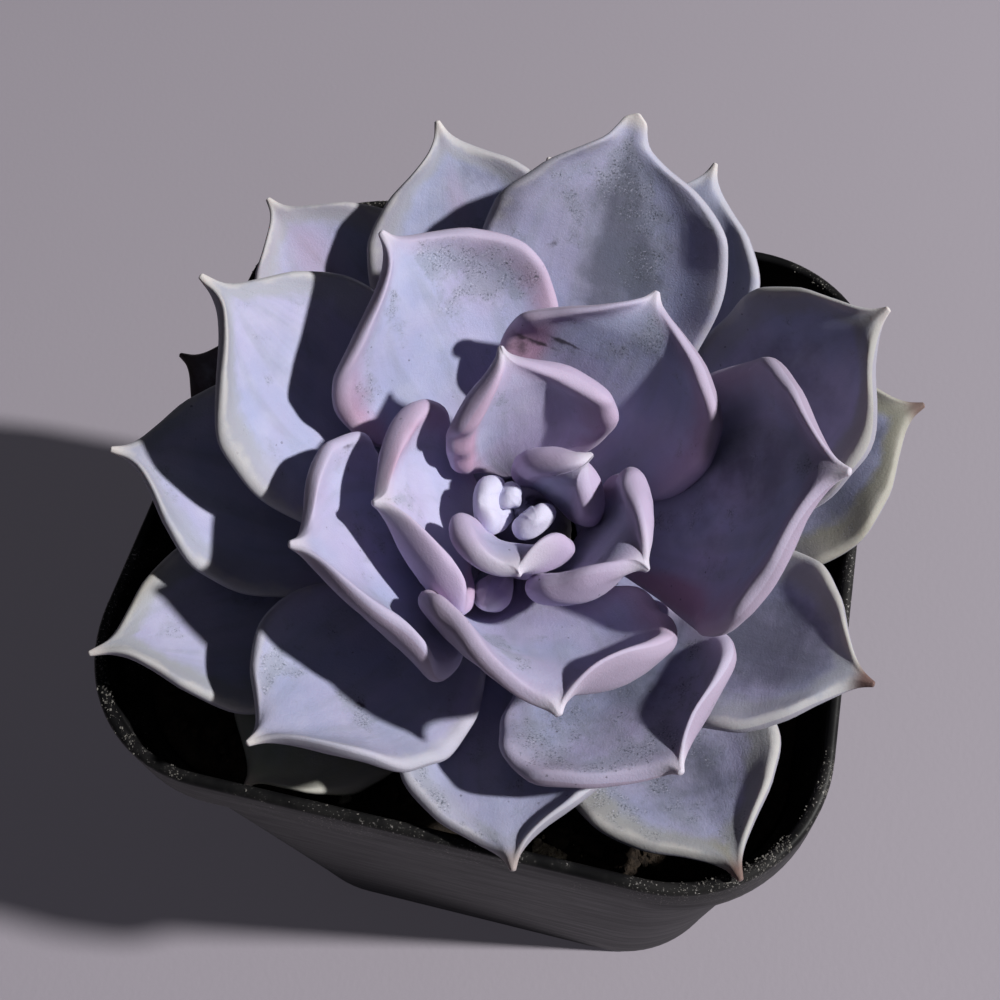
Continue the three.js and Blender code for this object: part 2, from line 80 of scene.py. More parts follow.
# Soil and stem, in millimetres and degrees
GAP = 0.3
SOIL_DROP = 12
SOIL_RELIEF = 0.9
SOIL_RINGS = 60
CORNER_REACH = 6
CORNER_CUT = 9
STEM_ROOM = 0.8
HEADROOM = 2
HEADROOM_SHARE = 3.2
COARSE_GRAIN = 0.6
GRIT_SINK = 0.02
GRIT_INSET = 0.1
GRIT_SIZE = 0.04
GRIT_SPREAD = 0.13
FRONT_DRIFT = 0.3
FULL_TURN = 6.28
STEM_RADIUS = 6
STEM_TIP_RADIUS = 1.3
STEM_TAPER = 0.36
STEM_REACH = 43
STEM_SIDES = 48
STEM_INSET = 0.3
SCAR_DEPTH = 0.22
SCAR_TURN = 2.1
BARK_DEPTH = 0.25
DOME_HEIGHT = 1.2
SHOULDER_HEIGHT = 0.7
SHOULDER_WIDTH = 0.5
HEART = np.array((5.8, -10, POT_HEIGHT + 15))
STEM_LEAN = 18
LEAN_TURN = 18

# Leaves: thickness from base to point, half width as a share of the widest, and how the cup opens
LEAF_THICKNESS = [(0, 2.3), (0.2, 2.7), (0.5, 3.1), (0.8, 3), (0.93, 1.9), (1, 0.7)]
BASE_ROOM = 2.8
# How much thinner a leaf is at its edge, by ring
EDGE_THINNING = {"inner": 0.06, "middle": 0.25, "outer": 0.42}
LEAF_OUTLINE = [
    (0, 0.25), (0.12, 0.36), (0.3, 0.62), (0.5, 0.93), (0.64, 1), (0.76, 0.93),
    (0.86, 0.64), (0.91, 0.34), (0.945, 0.15), (0.97, 0.07), (1, 0.025),
]
OUTLINE_WIDEST = 0.64
HORNED_OUTLINE = LEAF_OUTLINE[:6] + [
    (0.86, 0.62), (0.91, 0.32), (0.94, 0.17), (0.965, 0.12), (0.985, 0.09), (1, 0.02),
]
BLUNT_OUTLINE = [(0, 0.4), (0.2, 0.62), (0.45, 0.88), (0.64, 1), (0.8, 0.93), (0.92, 0.66), (1, 0.2)]
FLARE = 0.4
FLARE_START = 0.68
CRIMP = 0.3
CRIMP_WAVES = 4
DENT = 0.0016
DENT_WAVES = 5
TYPICAL_WIDTH = 30
CUP_AT_BASE = 0.25
CUP_FULL_AT = 0.55
POINT_OPENING = 0.55
TIP_START = 0.8
POINT_START = 0.9
WAVE = 0.05
WAVES = 1.3
WAVE_OFFSET = 0.37
WAVE_START = 0.15
WAVE_FULL = 0.5
STATIONS = 56
HEART_STATIONS = 30
STATION_CROWDING = 1.5
STREAK_STEP = 3.7
HEART_SEED = 500
BLADE_LANES = 19
RIM_STEPS = 6
MIDRIB_STEPS = 200
CURVE_STEPS = 41
POINT_CAP = 0.1
UPPER_FACE = 0.3

# Stage: bearings and heights above the horizon in degrees, distances and sizes in metres
KEY_LIGHT = dict(bearing=6, rise=39.5, distance=2.4, size=0.12, power=77, color=(1.0, 0.985, 0.97))
FILL_LIGHT = dict(bearing=300, rise=80, distance=1.3, size=1.0, power=0.2, color=(0.88, 0.91, 1.0))
SURROUND_COLOR = (0.74, 0.78, 0.94)
SURROUND_STRENGTH = 0.028
FLOOR_REACH = 3
FLOOR_COLORS = (0.325, 0.297, 0.342), (0.37, 0.338, 0.386)
# How brightly the floor glows into its own shadow, as under an open sky
FLOOR_GLOW = 0.034
GLOW_COLOR = (0.9, 0.82, 1.0)

# turn: bearing round the stem. node: how far below the heart. pitch: slope above the plane square to the
# stem. curl: change of slope. cup: how far the edges turn up. sweep, hook: sideways bends. nod: tip's rise.
PLAIN_LEAF = dict(sweep=0, twist=0, lopside=0, fold=0, hook=0, widest=0.6, nod=-10, seat=GAP, plump=1,
                  blunt=False, horned=False, thinning=EDGE_THINNING["inner"])


def row(turn, node, length, width, pitch, curl, cup, **more):
    """One leaf: its first seven values in their order, and by name what differs from the plain leaf."""
    first = dict(turn=turn, node=node, length=length, width=width, pitch=pitch, curl=curl, cup=cup)
    return {**PLAIN_LEAF, **first, **more}


INNER_LEAVES = [
    row(277, 4.5, 15, 15, 83.5, -19, 98, sweep=10.5, twist=-6, lopside=-0.1, fold=0.04, hook=16,
        widest=0.7, nod=-17, seat=2.1),
    row(42.5, 6.4, 16.5, 12.5, 81, -19, 97, sweep=-13.5, twist=44, fold=0.25, hook=14, widest=0.52,
        nod=-30, plump=1.15),
    row(262, 9.4, 13, 4.1, 65, 4, 60, blunt=True),
    row(108, 8, 22, 21.5, 67, -9, 92, sweep=3, twist=19, lopside=-0.14, fold=0.15, hook=5, widest=0.54,
        nod=-20, seat=0.7),
    row(195, 7.6, 19.5, 26.6, 61, 10, 76, sweep=9, twist=10, lopside=0.08, fold=0.1, nod=-15,
        plump=1.1),
    row(342, 9.3, 22.2, 20.7, 72.5, -7, 103, sweep=6, twist=-11, hook=-24.5, widest=0.63, nod=-30,
        plump=1.1, seat=1.5),
]
MIDDLE_LEAVES = [
    row(68, 10.2, 28, 30, 41, -1, 65, sweep=13, twist=-3, widest=0.55, nod=-19),
    row(290, 11.85, 29.5, 30.6, 61, 12, 80, sweep=-4, twist=-19, fold=0.1, hook=15, widest=0.62,
        nod=-26),
    row(205, 12.6, 28.5, 31, 54, 10, 54, twist=22, lopside=0.19, fold=-0.1, hook=-12, nod=-15),
    row(129, 12, 35, 31, 38, 18, 45, sweep=12, twist=19, lopside=0.08, hook=8, widest=0.56),
    row(13, 12.6, 41, 31.5, 53, 24, 33, sweep=-4, twist=-8, lopside=-0.05, fold=-0.08, hook=-13,
        nod=-16),
    row(312, 14.5, 33.5, 29, 39, 17, 45, sweep=5, twist=-5, lopside=-0.05, fold=0.25, widest=0.65,
        nod=-4),
]
OUTER_LEAVES = [
    row(233, 15.1, 37.5, 27, 32, 16, 43, sweep=-4, twist=21, lopside=0.15),
    row(86, 15.5, 46.5, 31, 29, 11, 46, sweep=5, twist=6, hook=-15, nod=-4, horned=True),
    row(155, 15.5, 44.5, 30, 32, 14, 39, sweep=-12, twist=36, lopside=0.1, hook=12, widest=0.55),
    row(41, 17, 47, 28, 35, 22, 45, sweep=20, twist=-24, lopside=-0.05, fold=-0.22, hook=-18,
        widest=0.65, seat=0.8),
    row(345, 17.5, 41, 25, 30, 18, 45, sweep=8, twist=-13, fold=-0.14, hook=-5),
    row(280, 17.5, 36.5, 26, 30, 14, 45, sweep=6, twist=6, hook=4),
    row(182, 18.5, 46, 27.5, 22, 14, 43, sweep=-4, twist=23, lopside=0.06, hook=8, nod=-5),
    row(114, 18.5, 47, 27, 23, 11, 37, sweep=8, lopside=0.06, fold=-0.19, nod=0),
    row(74, 20.3, 47, 24, 20, 13, 35, sweep=14, twist=-12, fold=-0.22, hook=-8, nod=-5, seat=0.5),
    row(28, 22, 46.5, 27.5, 17, 20, 28, twist=-4, lopside=-0.1, fold=-0.08, seat=0.5),
    row(312, 21, 44.5, 26, 29, 19, 42, sweep=-5, hook=-4),
    row(209, 21.5, 49.5, 25, 23, 17, 42, twist=20, lopside=0.14, hook=5, widest=0.58),
    row(140, 21.5, 49, 25.5, 19, 16, 40, sweep=3, widest=0.64),
    row(98, 24.1, 45.5, 24, 13, 13, 34, sweep=8, widest=0.64),
    row(164, 24, 46.5, 23.5, 8, 15, 35, widest=0.64),
    row(234, 24, 40.5, 23.5, 16, 10, 42, sweep=3, twist=7, hook=4, widest=0.67, nod=-18),
]
HEART_LEAVES = [
    row(193, 1.8, 7.6, 6.6, 68, 5, 80, seat=-1.6, plump=0.95, blunt=True),
    row(320, 1.5, 5.9, 5.2, 78, 4, 75, seat=-1.7, blunt=True),
    row(160, 0.3, 4.5, 3.2, 86, 2, 50, widest=0.7, seat=-1.5, plump=0.9, blunt=True),
]


def smooth(place, low, high):
    share = np.clip((place - low) / (high - low), 0, 1)
    return share * share * (3 - 2 * share)


def profile(points, places):
    """Smooth curve through (place, value) points that never overshoots them."""
    x, y = np.array(points, float).T
    step = np.diff(x)
    slope = np.diff(y) / step
    tangent = np.zeros(len(x))
    tangent[0], tangent[-1] = slope[0], slope[-1]
    before, after = slope[:-1], slope[1:]
    rising = before * after > 0
    tangent[1:-1][rising] = (2 * before * after)[rising] / (before + after)[rising]
    i = np.clip(np.searchsorted(x, places, side="right") - 1, 0, len(x) - 2)
    u = (places - x[i]) / step[i]
    return (y[i] * (1 + 2 * u) * (1 - u) ** 2 + tangent[i] * step[i] * u * (1 - u) ** 2
            + y[i + 1] * u * u * (3 - 2 * u) + tangent[i + 1] * step[i] * u * u * (u - 1))


def stem_directions():
    """The stem's axis and the two directions square to it from which a leaf's bearing is measured."""
    lean, turn = math.radians(STEM_LEAN), math.radians(LEAN_TURN)
    axis = np.array((math.sin(lean) * math.sin(turn), -math.sin(lean) * math.cos(turn), math.cos(lean)))
    zero = np.array((1, 0, 0)) - axis[0] * axis
    zero /= np.linalg.norm(zero)
    return axis, zero, np.cross(axis, zero)


STEM_AXIS, BEARING_ZERO, BEARING_QUARTER = stem_directions()
# Where the stem meets the soil's surface
STEM_FOOT = HEART - STEM_AXIS * (HEART[2] - (POT_HEIGHT - SOIL_DROP)) / STEM_AXIS[2]


def stem_radius(below_heart):
    return min(STEM_RADIUS, STEM_TIP_RADIUS + STEM_TAPER * below_heart)


def midrib(leaf, places):
    """Centres, directions, sideways and upward axes of a leaf at the given places along it."""
    turn = math.radians(leaf["turn"])
    outward = BEARING_ZERO * math.cos(turn) + BEARING_QUARTER * math.sin(turn)
    around = -BEARING_ZERO * math.sin(turn) + BEARING_QUARTER * math.cos(turn)

    def heading(s):
        from_middle, at_tip = 2 * s - 1, smooth(s, TIP_START, 1)
        slope = np.radians(leaf["pitch"] + leaf["curl"] * from_middle + 2 * leaf["nod"] * at_tip)
        yaw = np.radians(leaf["sweep"] * from_middle + leaf["hook"] * at_tip)
        level = np.cos(slope)
        along = (np.outer(np.sin(slope), STEM_AXIS) + np.outer(level * np.cos(yaw), outward)
                 + np.outer(level * np.sin(yaw), around))
        return along, slope, yaw

    walk = heading((np.arange(MIDRIB_STEPS) + 0.5) / MIDRIB_STEPS)[0] * leaf["length"] / MIDRIB_STEPS
    walk = np.vstack([np.zeros(3), np.cumsum(walk, axis=0)])
    first_slope = heading(np.zeros(1))[1][0]
    reach = stem_radius(leaf["node"]) + leaf["seat"] + BASE_ROOM / 2 * abs(math.sin(first_slope))
    foot = HEART - STEM_AXIS * leaf["node"] + outward * reach
    ticks = np.linspace(0, 1, MIDRIB_STEPS + 1)
    centres = foot + np.stack([np.interp(places, ticks, walk[:, k]) for k in range(3)], axis=1)
    along, _, yaw = heading(places)
    flat_across = -np.outer(np.sin(yaw), outward) + np.outer(np.cos(yaw), around)
    flat_up = np.cross(along, flat_across)
    roll = np.radians(leaf["twist"] * places)[:, None]
    across = flat_across * np.cos(roll) + flat_up * np.sin(roll)
    up = flat_up * np.cos(roll) - flat_across * np.sin(roll)
    return centres, along, across, up


def lane_places(half, thick):
    """Lanes across a leaf from -1 to 1 at each place: even over the blade, then round its rim by angle."""
    rim = np.minimum(1, thick / 2 / np.maximum(half, 0.01))
    blade = np.linspace(-1, 1, BLADE_LANES)[None, :] * (1 - rim)
    turn = np.sin(np.arange(1, RIM_STEPS + 1) / RIM_STEPS * math.pi / 2)[None, :]
    right = 1 - rim + rim * turn
    return np.hstack([-right[:, ::-1], blade, right]), rim


def across_curve(bend, half, out):
    """How far out and up a leaf's lanes lie, and their slope: a cup that flares out again at its edge."""
    way = np.linspace(0, 1, CURVE_STEPS)
    slope = bend * way ** 2 * (1 - FLARE * smooth(way, FLARE_START, 1))
    between = (slope[:, 1:] + slope[:, :-1]) / 2

    def at_lanes(curve):
        return np.array([np.interp(places, way, values) for places, values in zip(out, curve)])

    def walked(steps):
        return at_lanes(np.hstack([np.zeros((len(bend), 1)), np.cumsum(steps, axis=1) * way[1]])) * half

    return walked(np.cos(between)), walked(np.sin(between)), at_lanes(slope)


def ripples(s, side, lanes, seed):
    """The small random waves of a leaf's margin and the dents of its blade, before they are scaled."""
    draw = random.Random(seed)
    crimp, dents = 0, 0
    for _ in range(CRIMP_WAVES):
        waves, phase, lag = draw.uniform(2.5, 6.5), draw.uniform(0, 2 * math.pi), draw.uniform(0, 3)
        crimp = crimp + np.sin(2 * math.pi * waves * s + phase + lag * side)
    for _ in range(DENT_WAVES):
        a, b, phase = draw.uniform(3, 9), draw.uniform(2, 5), draw.uniform(0, 2 * math.pi)
        dents = dents + np.sin(a * s + b * lanes * draw.choice((-1, 1)) + phase)
    return crimp, dents


def leaf_faces(leaf, places, seed):
    """A leaf's upper and lower points, [place, lane, 3], its lanes, half widths and directions."""
    centres, along, across, up = midrib(leaf, places)
    s = places[:, None]
    stretched = places ** (math.log(OUTLINE_WIDEST) / math.log(leaf["widest"]))
    thick = leaf["plump"] * np.interp(places, *zip(*LEAF_THICKNESS))[:, None]
    outline = BLUNT_OUTLINE if leaf["blunt"] else HORNED_OUTLINE if leaf["horned"] else LEAF_OUTLINE
    even_half = leaf["width"] / 2 * profile(outline, stretched)[:, None]
    lanes, rim = lane_places(even_half, thick * (1 - leaf["thinning"]))
    side = np.where(lanes < 0, -1, 1)
    out = np.abs(lanes)
    in_point = smooth(s, POINT_START, 1)
    opening = CUP_AT_BASE + (1 - CUP_AT_BASE) * smooth(s, 0, CUP_FULL_AT)
    bend = math.radians(leaf["cup"]) * opening * (1 - POINT_OPENING * in_point)
    half = even_half * (1 + leaf["lopside"] * side)
    left, right = (across_curve(bend * (1 + leaf["fold"] * way), half, out) for way in (-1, 1))
    sideways, rise, tilt = (np.where(side < 0, a, b) for a, b in zip(left, right))
    sideways = sideways * side
    wave_turn = 2 * math.pi * (WAVES * s + np.where(side > 0, 0, WAVE_OFFSET))
    wave_share = smooth(s, WAVE_START, WAVE_FULL) * (1 - in_point)
    ripple = WAVE * leaf["width"] * out ** 3 * np.sin(wave_turn) * wave_share
    crimp, dents = ripples(s, side, lanes, seed)
    lift = rise + ripple + CRIMP * crimp / 2 * out ** 4 * wave_share * leaf["width"] / TYPICAL_WIDTH
    lift = lift + dents * leaf["width"] * DENT * wave_share
    round_rim = np.sqrt(1 - np.clip((out - 1 + rim) / rim, 0, 1) ** 2)
    flesh = thick / 2 * round_rim * (1 - leaf["thinning"] * out ** 2)
    tilt = (tilt * side)[..., None]
    middle = centres[:, None] + across[:, None] * sideways[..., None] + up[:, None] * lift[..., None]
    out_of_face = up[:, None] * np.cos(tilt) - across[:, None] * np.sin(tilt)
    to_face = out_of_face * flesh[..., None]
    return middle + to_face, middle - to_face, lanes, half, along


def placed(name, data):
    """A new object with this data, in the scene."""
    thing = bpy.data.objects.new(name, data)
    bpy.context.scene.collection.objects.link(thing)
    return thing


def mesh_object(name, vertices, faces, attributes, material):
    """A smooth object with its own mesh. An attribute is one number for each vertex, or one for all."""
    mesh = bpy.data.meshes.new(name)
    mesh.from_pydata([tuple(v) for v in vertices], [], faces)
    for key, values in attributes.items():
        layer = mesh.attributes.new(key, "FLOAT", "POINT")
        layer.data.foreach_set("value", np.full(len(vertices), values, np.float32))
    mesh.polygons.foreach_set("use_smooth", [True] * len(mesh.polygons))
    mesh.materials.append(material)
    mesh.update()
    return placed(name, mesh)


def both_faces(upper, lower):
    """Once round the leaf at each place: over the top from edge to edge and back underneath."""
    return np.concatenate([upper, lower[:, -2:0:-1]], axis=1)


def skin_faces(rows, count):
    """Faces of a closed skin over rings of equal count, whose two end hubs are the last vertices."""
    last = (rows - 1) * count
    around = [(k, (k + 1) % count) for k in range(count)]
    faces = [(r + k, r + n, r + count + n, r + count + k) for r in range(0, last, count) for k, n in around]
    faces += [(last + count, n, k) for k, n in around]
    return faces + [(last + count + 1, last + k, last + n) for k, n in around]


def facing_out(vertices, faces):
    """The faces, turned where needed so that the closed mesh faces outwards."""
    triangles = [(face[0], *pair) for face in faces for pair in zip(face[1:], face[2:])]
    first, second, third = vertices[np.array(triangles).T]
    volume = (first * np.cross(second, third)).sum()
    return faces if volume > 0 else [face[::-1] for face in faces]


def leaf_parts(leaf, seed, stations=STATIONS):
    """Vertices in metres, faces and attributes of one closed leaf."""
    places = 1 - (1 - np.linspace(0, 1, stations)) ** STATION_CROWDING
    upper, lower, lanes, half, along = leaf_faces(leaf, places, seed)
    ring = both_faces(upper, lower)
    count = ring.shape[1]
    on_top = both_faces(np.ones_like(lanes), np.zeros_like(lanes))
    on_top[:, [0, lanes.shape[1] - 1]] = 0.5
    lane_of = both_faces(lanes, lanes)
    edge = both_faces(half, half) * (1 - np.abs(lane_of))
    base = ring[0].mean(axis=0)
    tip = ring[-1].mean(axis=0) + along[-1] * POINT_CAP
    vertices = np.vstack([ring.reshape(-1, 3), base, tip])
    tip_mm = np.repeat((1 - places) * leaf["length"], count)
    attributes = {
        "along": np.append(np.repeat(places, count), [0, 1]),
        "edge_mm": np.append(edge.ravel(), [1, 0]),
        "tip_mm": np.append(tip_mm, [leaf["length"], 0]),
        "upper": np.append(on_top.ravel(), [0.5, 0.5]),
        "across": np.append(lane_of.ravel(), [0, 0]),
    }
    return vertices * MM, facing_out(vertices, skin_faces(stations, count)), attributes


def marked(values, leaf, base, marks):
    """A look's strength over a leaf: its base value and the leaf's own marks, on the upper face alone.
    A mark is its place along and across, its reach either way in millimetres and its strength."""
    strength = np.full(len(values["along"]), float(base))
    for along, across, reach_along, reach_across, most in marks:
        far_along = (values["along"] - along) * leaf["length"] / reach_along
        far_across = (values["across"] - across) * leaf["width"] / 2 / reach_across
        strength += most * np.exp(-far_along ** 2 - far_across ** 2) * (values["upper"] > UPPER_FACE)
    return np.clip(strength, 0, 1)


class Recipe:
    """A material's nodes, with short ways to add and join them."""

    def __init__(self, name):
        self.material = bpy.data.materials.new(name)
        self.material.use_nodes = True
        self.tree = self.material.node_tree
        self.tree.nodes.clear()
        self.shader = self.tree.nodes.new("ShaderNodeBsdfPrincipled")
        output = self.tree.nodes.new("ShaderNodeOutputMaterial")
        self.tree.links.new(self.shader.outputs[0], output.inputs["Surface"])
        self.place = self.tree.nodes.new("ShaderNodeTexCoord").outputs["Object"]
        self.color = None

    def put(self, socket, value):
        if isinstance(value, bpy.types.NodeSocket):
            self.tree.links.new(value, socket)
        elif isinstance(value, tuple) and len(value) == 3 and socket.type == "RGBA":
            socket.default_value = (*value, 1)
        else:
            socket.default_value = value

    def set(self, **values):
        """Puts values on the shader's sockets, named with underscores."""
        for name, value in values.items():
            self.put(self.shader.inputs[name.replace("_", " ")], value)

    def node(self, kind, **inputs):
        """A new node with values or links on its inputs, named with underscores."""
        node = self.tree.nodes.new("ShaderNode" + kind)
        for name, value in inputs.items():
            self.put(node.inputs[name.replace("_", " ")], value)
        return node

    def attribute(self, name):
        node = self.node("Attribute")
        node.attribute_name = name
        return node.outputs["Fac"]

    def noise(self, scale, detail=3, roughness=0.5, place=None):
        inputs = dict(Vector=place or self.place, Scale=scale, Detail=detail, Roughness=roughness)
        return self.node("TexNoise", **inputs).outputs["Fac"]

    def math(self, kind, first, second):
        node = self.node("Math")
        node.operation = kind
        self.put(node.inputs[0], first)
        self.put(node.inputs[1], second)
        return node.outputs[0]

    def span(self, value, low, high, start=0.0, end=1.0):
        """Smooth step from start to end as value goes from low to high."""
        node = self.node("MapRange", Value=value, From_Min=low, From_Max=high, To_Min=start, To_Max=end)
        node.interpolation_type = "SMOOTHSTEP"
        return node.outputs["Result"]

    def times(self, first, second):
        return self.math("MULTIPLY", first, second)

    def plus(self, first, second):
        return self.math("ADD", first, second)

    def most(self, first, second):
        return self.math("MAXIMUM", first, second)

    def mix(self, share, first, second):
        """Two colours, mixed by a share of the second."""
        node = self.node("Mix")
        node.data_type = "RGBA"
        self.put(node.inputs[0], share)
        self.put(node.inputs[6], first)
        self.put(node.inputs[7], second)
        return node.outputs[2]

    def cover(self, share, color):
        """Lays a colour over the recipe's own, by a share."""
        self.color = self.mix(share, self.color, color)

    def mix_value(self, share, first, second):
        node = self.node("Mix")
        self.put(node.inputs[0], share)
        self.put(node.inputs[2], first)
        self.put(node.inputs[3], second)
        return node.outputs[0]

    def bump(self, height, distance, strength=1.0):
        node = self.node("Bump", Height=height, Distance=distance, Strength=strength)
        self.put(self.shader.inputs["Normal"], node.outputs["Normal"])

    def rising(self, vector, low, high):
        """Smooth step from 0 to 1 as the vector's upward part goes from low to high."""
        return self.span(self.node("SeparateXYZ", Vector=vector).outputs["Z"], low, high)


# What a leaf's mesh says of each vertex: its place and the leaf's seed, then each look's strength there
PLACE_ATTRIBUTES = ("along", "across", "edge_mm", "tip_mm", "upper", "seed")
LOOK_ATTRIBUTES = ("rub", "dry", "dull_and_shade", "halo", "olive", "pink", "scar")
# Shared colours of the leaves' skins
PALE_BLOOM = (0.6, 0.6, 0.74)
GREY_SKIN = (0.26, 0.285, 0.35)
BARE_SKIN = (0.09, 0.1, 0.125)
# Dark slate of dulled bloom, also laid on as painted shade where a leaf lies in shade
DULL_AND_SHADE_SKIN = (0.1, 0.11, 0.15)
ROSE = (0.46, 0.255, 0.37)
OLIVE, OLIVE_RIM = (0.3, 0.295, 0.215), (0.37, 0.36, 0.28)
# Near-black of scars, also used as painted shade in middle_leaf_1's crease
SCAR_AND_CREASE_SHADE = (0.035, 0.025, 0.035)
SPECK = (0.1, 0.095, 0.12)


def leaf_skin(name, cool, warm, under, rim_color, halo_color, tip_colors, rim_width=2.2):
    """Powdery bloom over a fleshy leaf. rim_color: the edge. halo_color: the band just inside it.
    tip_colors: a fresh point and a dried one. A leaf's own attributes say how much of each it has."""
    skin = Recipe(name)
    cover, span, times, plus = skin.cover, skin.span, skin.times, skin.plus
    along, across, edge, tip_mm, upper, seed = map(skin.attribute, PLACE_ATTRIBUTES)
    rub, dry, dull_and_shade, halo, olive, pink, scar = map(skin.attribute, LOOK_ATTRIBUTES)
    drift = skin.noise(85, 2)
    cloud = skin.noise(260, 4, 0.6)
    grain = skin.noise(4200, 3, 0.75)
    own_place = skin.node("CombineXYZ", X=times(across, 4.5), Y=times(along, 1.6), Z=seed).outputs["Vector"]
    streak = skin.noise(1, 3, 0.55, own_place)
    skin.color = skin.mix(span(drift, 0.36, 0.64), cool, warm)
    streak = skin.mix_value(span(tip_mm, 9, 3), streak, 0.5)
    cover(span(streak, 0.42, 0.7, 0.0, 0.42), GREY_SKIN)
    cover(span(cloud, 0.38, 0.72, 0.0, 0.22), PALE_BLOOM)
    worn = plus(skin.noise(230, 5, 0.65), times(rub, 0.3))
    patch = times(span(worn, 0.6, 0.78), span(edge, 0.3, 1.4))
    cover(times(patch, 0.5), GREY_SKIN)
    # Dull marks darken the bloom: mostly painted shade over the leaves' shaded parts, partly duller bloom,
    # with random dull patches
    dulled_and_shaded = plus(dull_and_shade, span(skin.noise(140, 4, 0.6), 0.3, 0.7, -0.25, 0.25))
    cover(span(dulled_and_shaded, 0.1, 1.0, 0.0, 0.8), DULL_AND_SHADE_SKIN)
    wander = plus(edge, span(cloud, 0.25, 0.75, -0.9, 0.9))
    band = times(times(span(wander, 5.2, 2.6), halo), span(along, 0.3, 0.7))
    olive = skin.most(span(halo, 0.75, 1.0), olive)
    cover(band, skin.mix(olive, halo_color, OLIVE))
    at_edge = times(span(wander, 5, 0.6), span(along, 1, 0.45, 0.35, 1))
    blush = skin.most(span(along, 0.5, 0.1, 0.0, 0.45), at_edge)
    deep = span(pink, 0.5, 1.0, 0.0, 0.8)
    cover(times(skin.most(blush, deep), pink), ROSE)
    rim = skin.mix(times(olive, 0.6), rim_color, OLIVE_RIM)
    rim_share = times(span(wander, rim_width, 0.1, 0.0, 0.8), plus(times(halo, 0.5), 0.4))
    cover(rim_share, rim)
    cover(span(upper, 0.5, 0.1, 0.0, 0.85), under)
    gritty = times(patch, span(skin.noise(600, 3, 0.6), 0.4, 0.56))
    bare = times(gritty, span(grain, 0.54, 0.61))
    cover(times(bare, 0.85), BARE_SKIN)
    glint = times(gritty, span(grain, 0.41, 0.35))
    cover(times(glint, 0.85), PALE_BLOOM)
    # Scar marks: real small scars, and on middle_leaf_1 painted shade along and beside its crease
    scars_and_crease_shade = plus(scar, span(cloud, 0.3, 0.7, -0.3, 0.3))
    cover(span(scars_and_crease_shade, 0.3, 0.75, 0.0, 0.85), SCAR_AND_CREASE_SHADE)
    few = span(skin.noise(70, 2), 0.52, 0.62)
    cells = skin.node("TexVoronoi", Vector=skin.place, Scale=560).outputs["Distance"]
    ragged = plus(cells, span(grain, 0.3, 0.7, -0.04, 0.04))
    cover(times(span(ragged, 0.1, 0.05, 0.0, 0.75), few), SPECK)
    point = skin.mix(dry, *tip_colors)
    reach = plus(tip_mm, times(dry, -0.5))
    cover(span(reach, 2.4, 0.4, 0.0, 0.9), point)
    rough = plus(span(grain, 0.2, 0.8, 0.58, 0.74), times(bare, -0.16))
    skin.set(Base_Color=skin.color, Roughness=rough, Specular_IOR_Level=0.3, Subsurface_Weight=0.1,
             Subsurface_Radius=(1.0, 0.6, 0.6), Subsurface_Scale=0.0014, Sheen_Weight=0.12,
             Sheen_Roughness=0.45, Sheen_Tint=(0.85, 0.88, 1.0))
    relief = plus(plus(times(grain, 0.3), times(cloud, 0.5)), times(streak, 0.6))
    skin.bump(relief, 0.00028, 0.6)
    return skin.material


def pot_plastic():
    """Black moulded plastic: faint scuffs, and pale dust and grit that thin out down from the rim."""
    pot = Recipe("pot_black_plastic")
    cloud = pot.noise(120, 4, 0.6)
    grain = pot.noise(3200, 3, 0.7)
    flattened = pot.node("Mapping", Vector=pot.place, Scale=(1.0, 1.0, 9.0)).outputs["Vector"]
    scuff = pot.noise(70, 5, 0.75, flattened)
    pot.color = pot.mix(pot.span(cloud, 0.35, 0.7), (0.006, 0.006, 0.0065), (0.011, 0.0108, 0.0115))
    pot.cover(pot.span(scuff, 0.58, 0.74, 0.0, 0.3), (0.035, 0.034, 0.036))
    facing_up = pot.rising(pot.node("NewGeometry").outputs["Normal"], 0.2, 0.85)
    lying = pot.most(facing_up, pot.rising(pot.place, 0.066, 0.0845))
    film = pot.times(pot.span(cloud, 0.42, 0.62), lying)
    pot.cover(pot.times(film, 0.12), (0.11, 0.105, 0.1))
    grit = pot.times(pot.times(pot.span(grain, 0.6, 0.66), pot.span(cloud, 0.46, 0.6)), lying)
    pot.cover(pot.times(grit, 0.85), (0.42, 0.4, 0.38))
    rough = pot.plus(pot.span(scuff, 0.3, 0.7, 0.4, 0.52), pot.times(grit, 0.3))
    pot.set(Base_Color=pot.color, Roughness=rough, Specular_IOR_Level=0.13)
    pot.bump(pot.plus(pot.times(grain, 0.3), cloud), 0.00012, 0.35)
    return pot.material


def soil_mix(name, dark, light, scale):
    soil = Recipe(name)
    cloud = soil.noise(scale, 5, 0.7)
    grain = soil.noise(scale * 6, 4, 0.7)
    soil.color = soil.mix(soil.span(cloud, 0.35, 0.68), dark, light)
    soil.cover(soil.span(grain, 0.55, 0.7, 0.0, 0.5), tuple(min(1, 1.9 * c) for c in light))
    soil.set(Base_Color=soil.color, Roughness=soil.span(grain, 0.3, 0.7, 0.82, 0.98), Specular_IOR_Level=0.25)
    soil.bump(soil.plus(cloud, soil.times(grain, 0.5)), 0.0006, 0.8)
    return soil.material


def rounded_square(width, corner, height, corner_steps=20):
    """Points, in millimetres, of a square with rounded corners at one height."""
    points = []
    inset = width / 2 - corner
    for quarter, (x, y) in enumerate(QUARTERS):
        for k in range(corner_steps + 1):
            turn = (quarter + k / corner_steps) * math.pi / 2
            points.append((x * inset + corner * math.cos(turn), y * inset + corner * math.sin(turn), height))
    return points


def body_width(height):
    return FOOT_WIDTH + (BODY_TOP_WIDTH - FOOT_WIDTH) * height / BODY_TOP


def body_corner(height):
    return FOOT_CORNER + (MOUTH_CORNER - LIP_STEP - FOOT_CORNER) * height / BODY_TOP


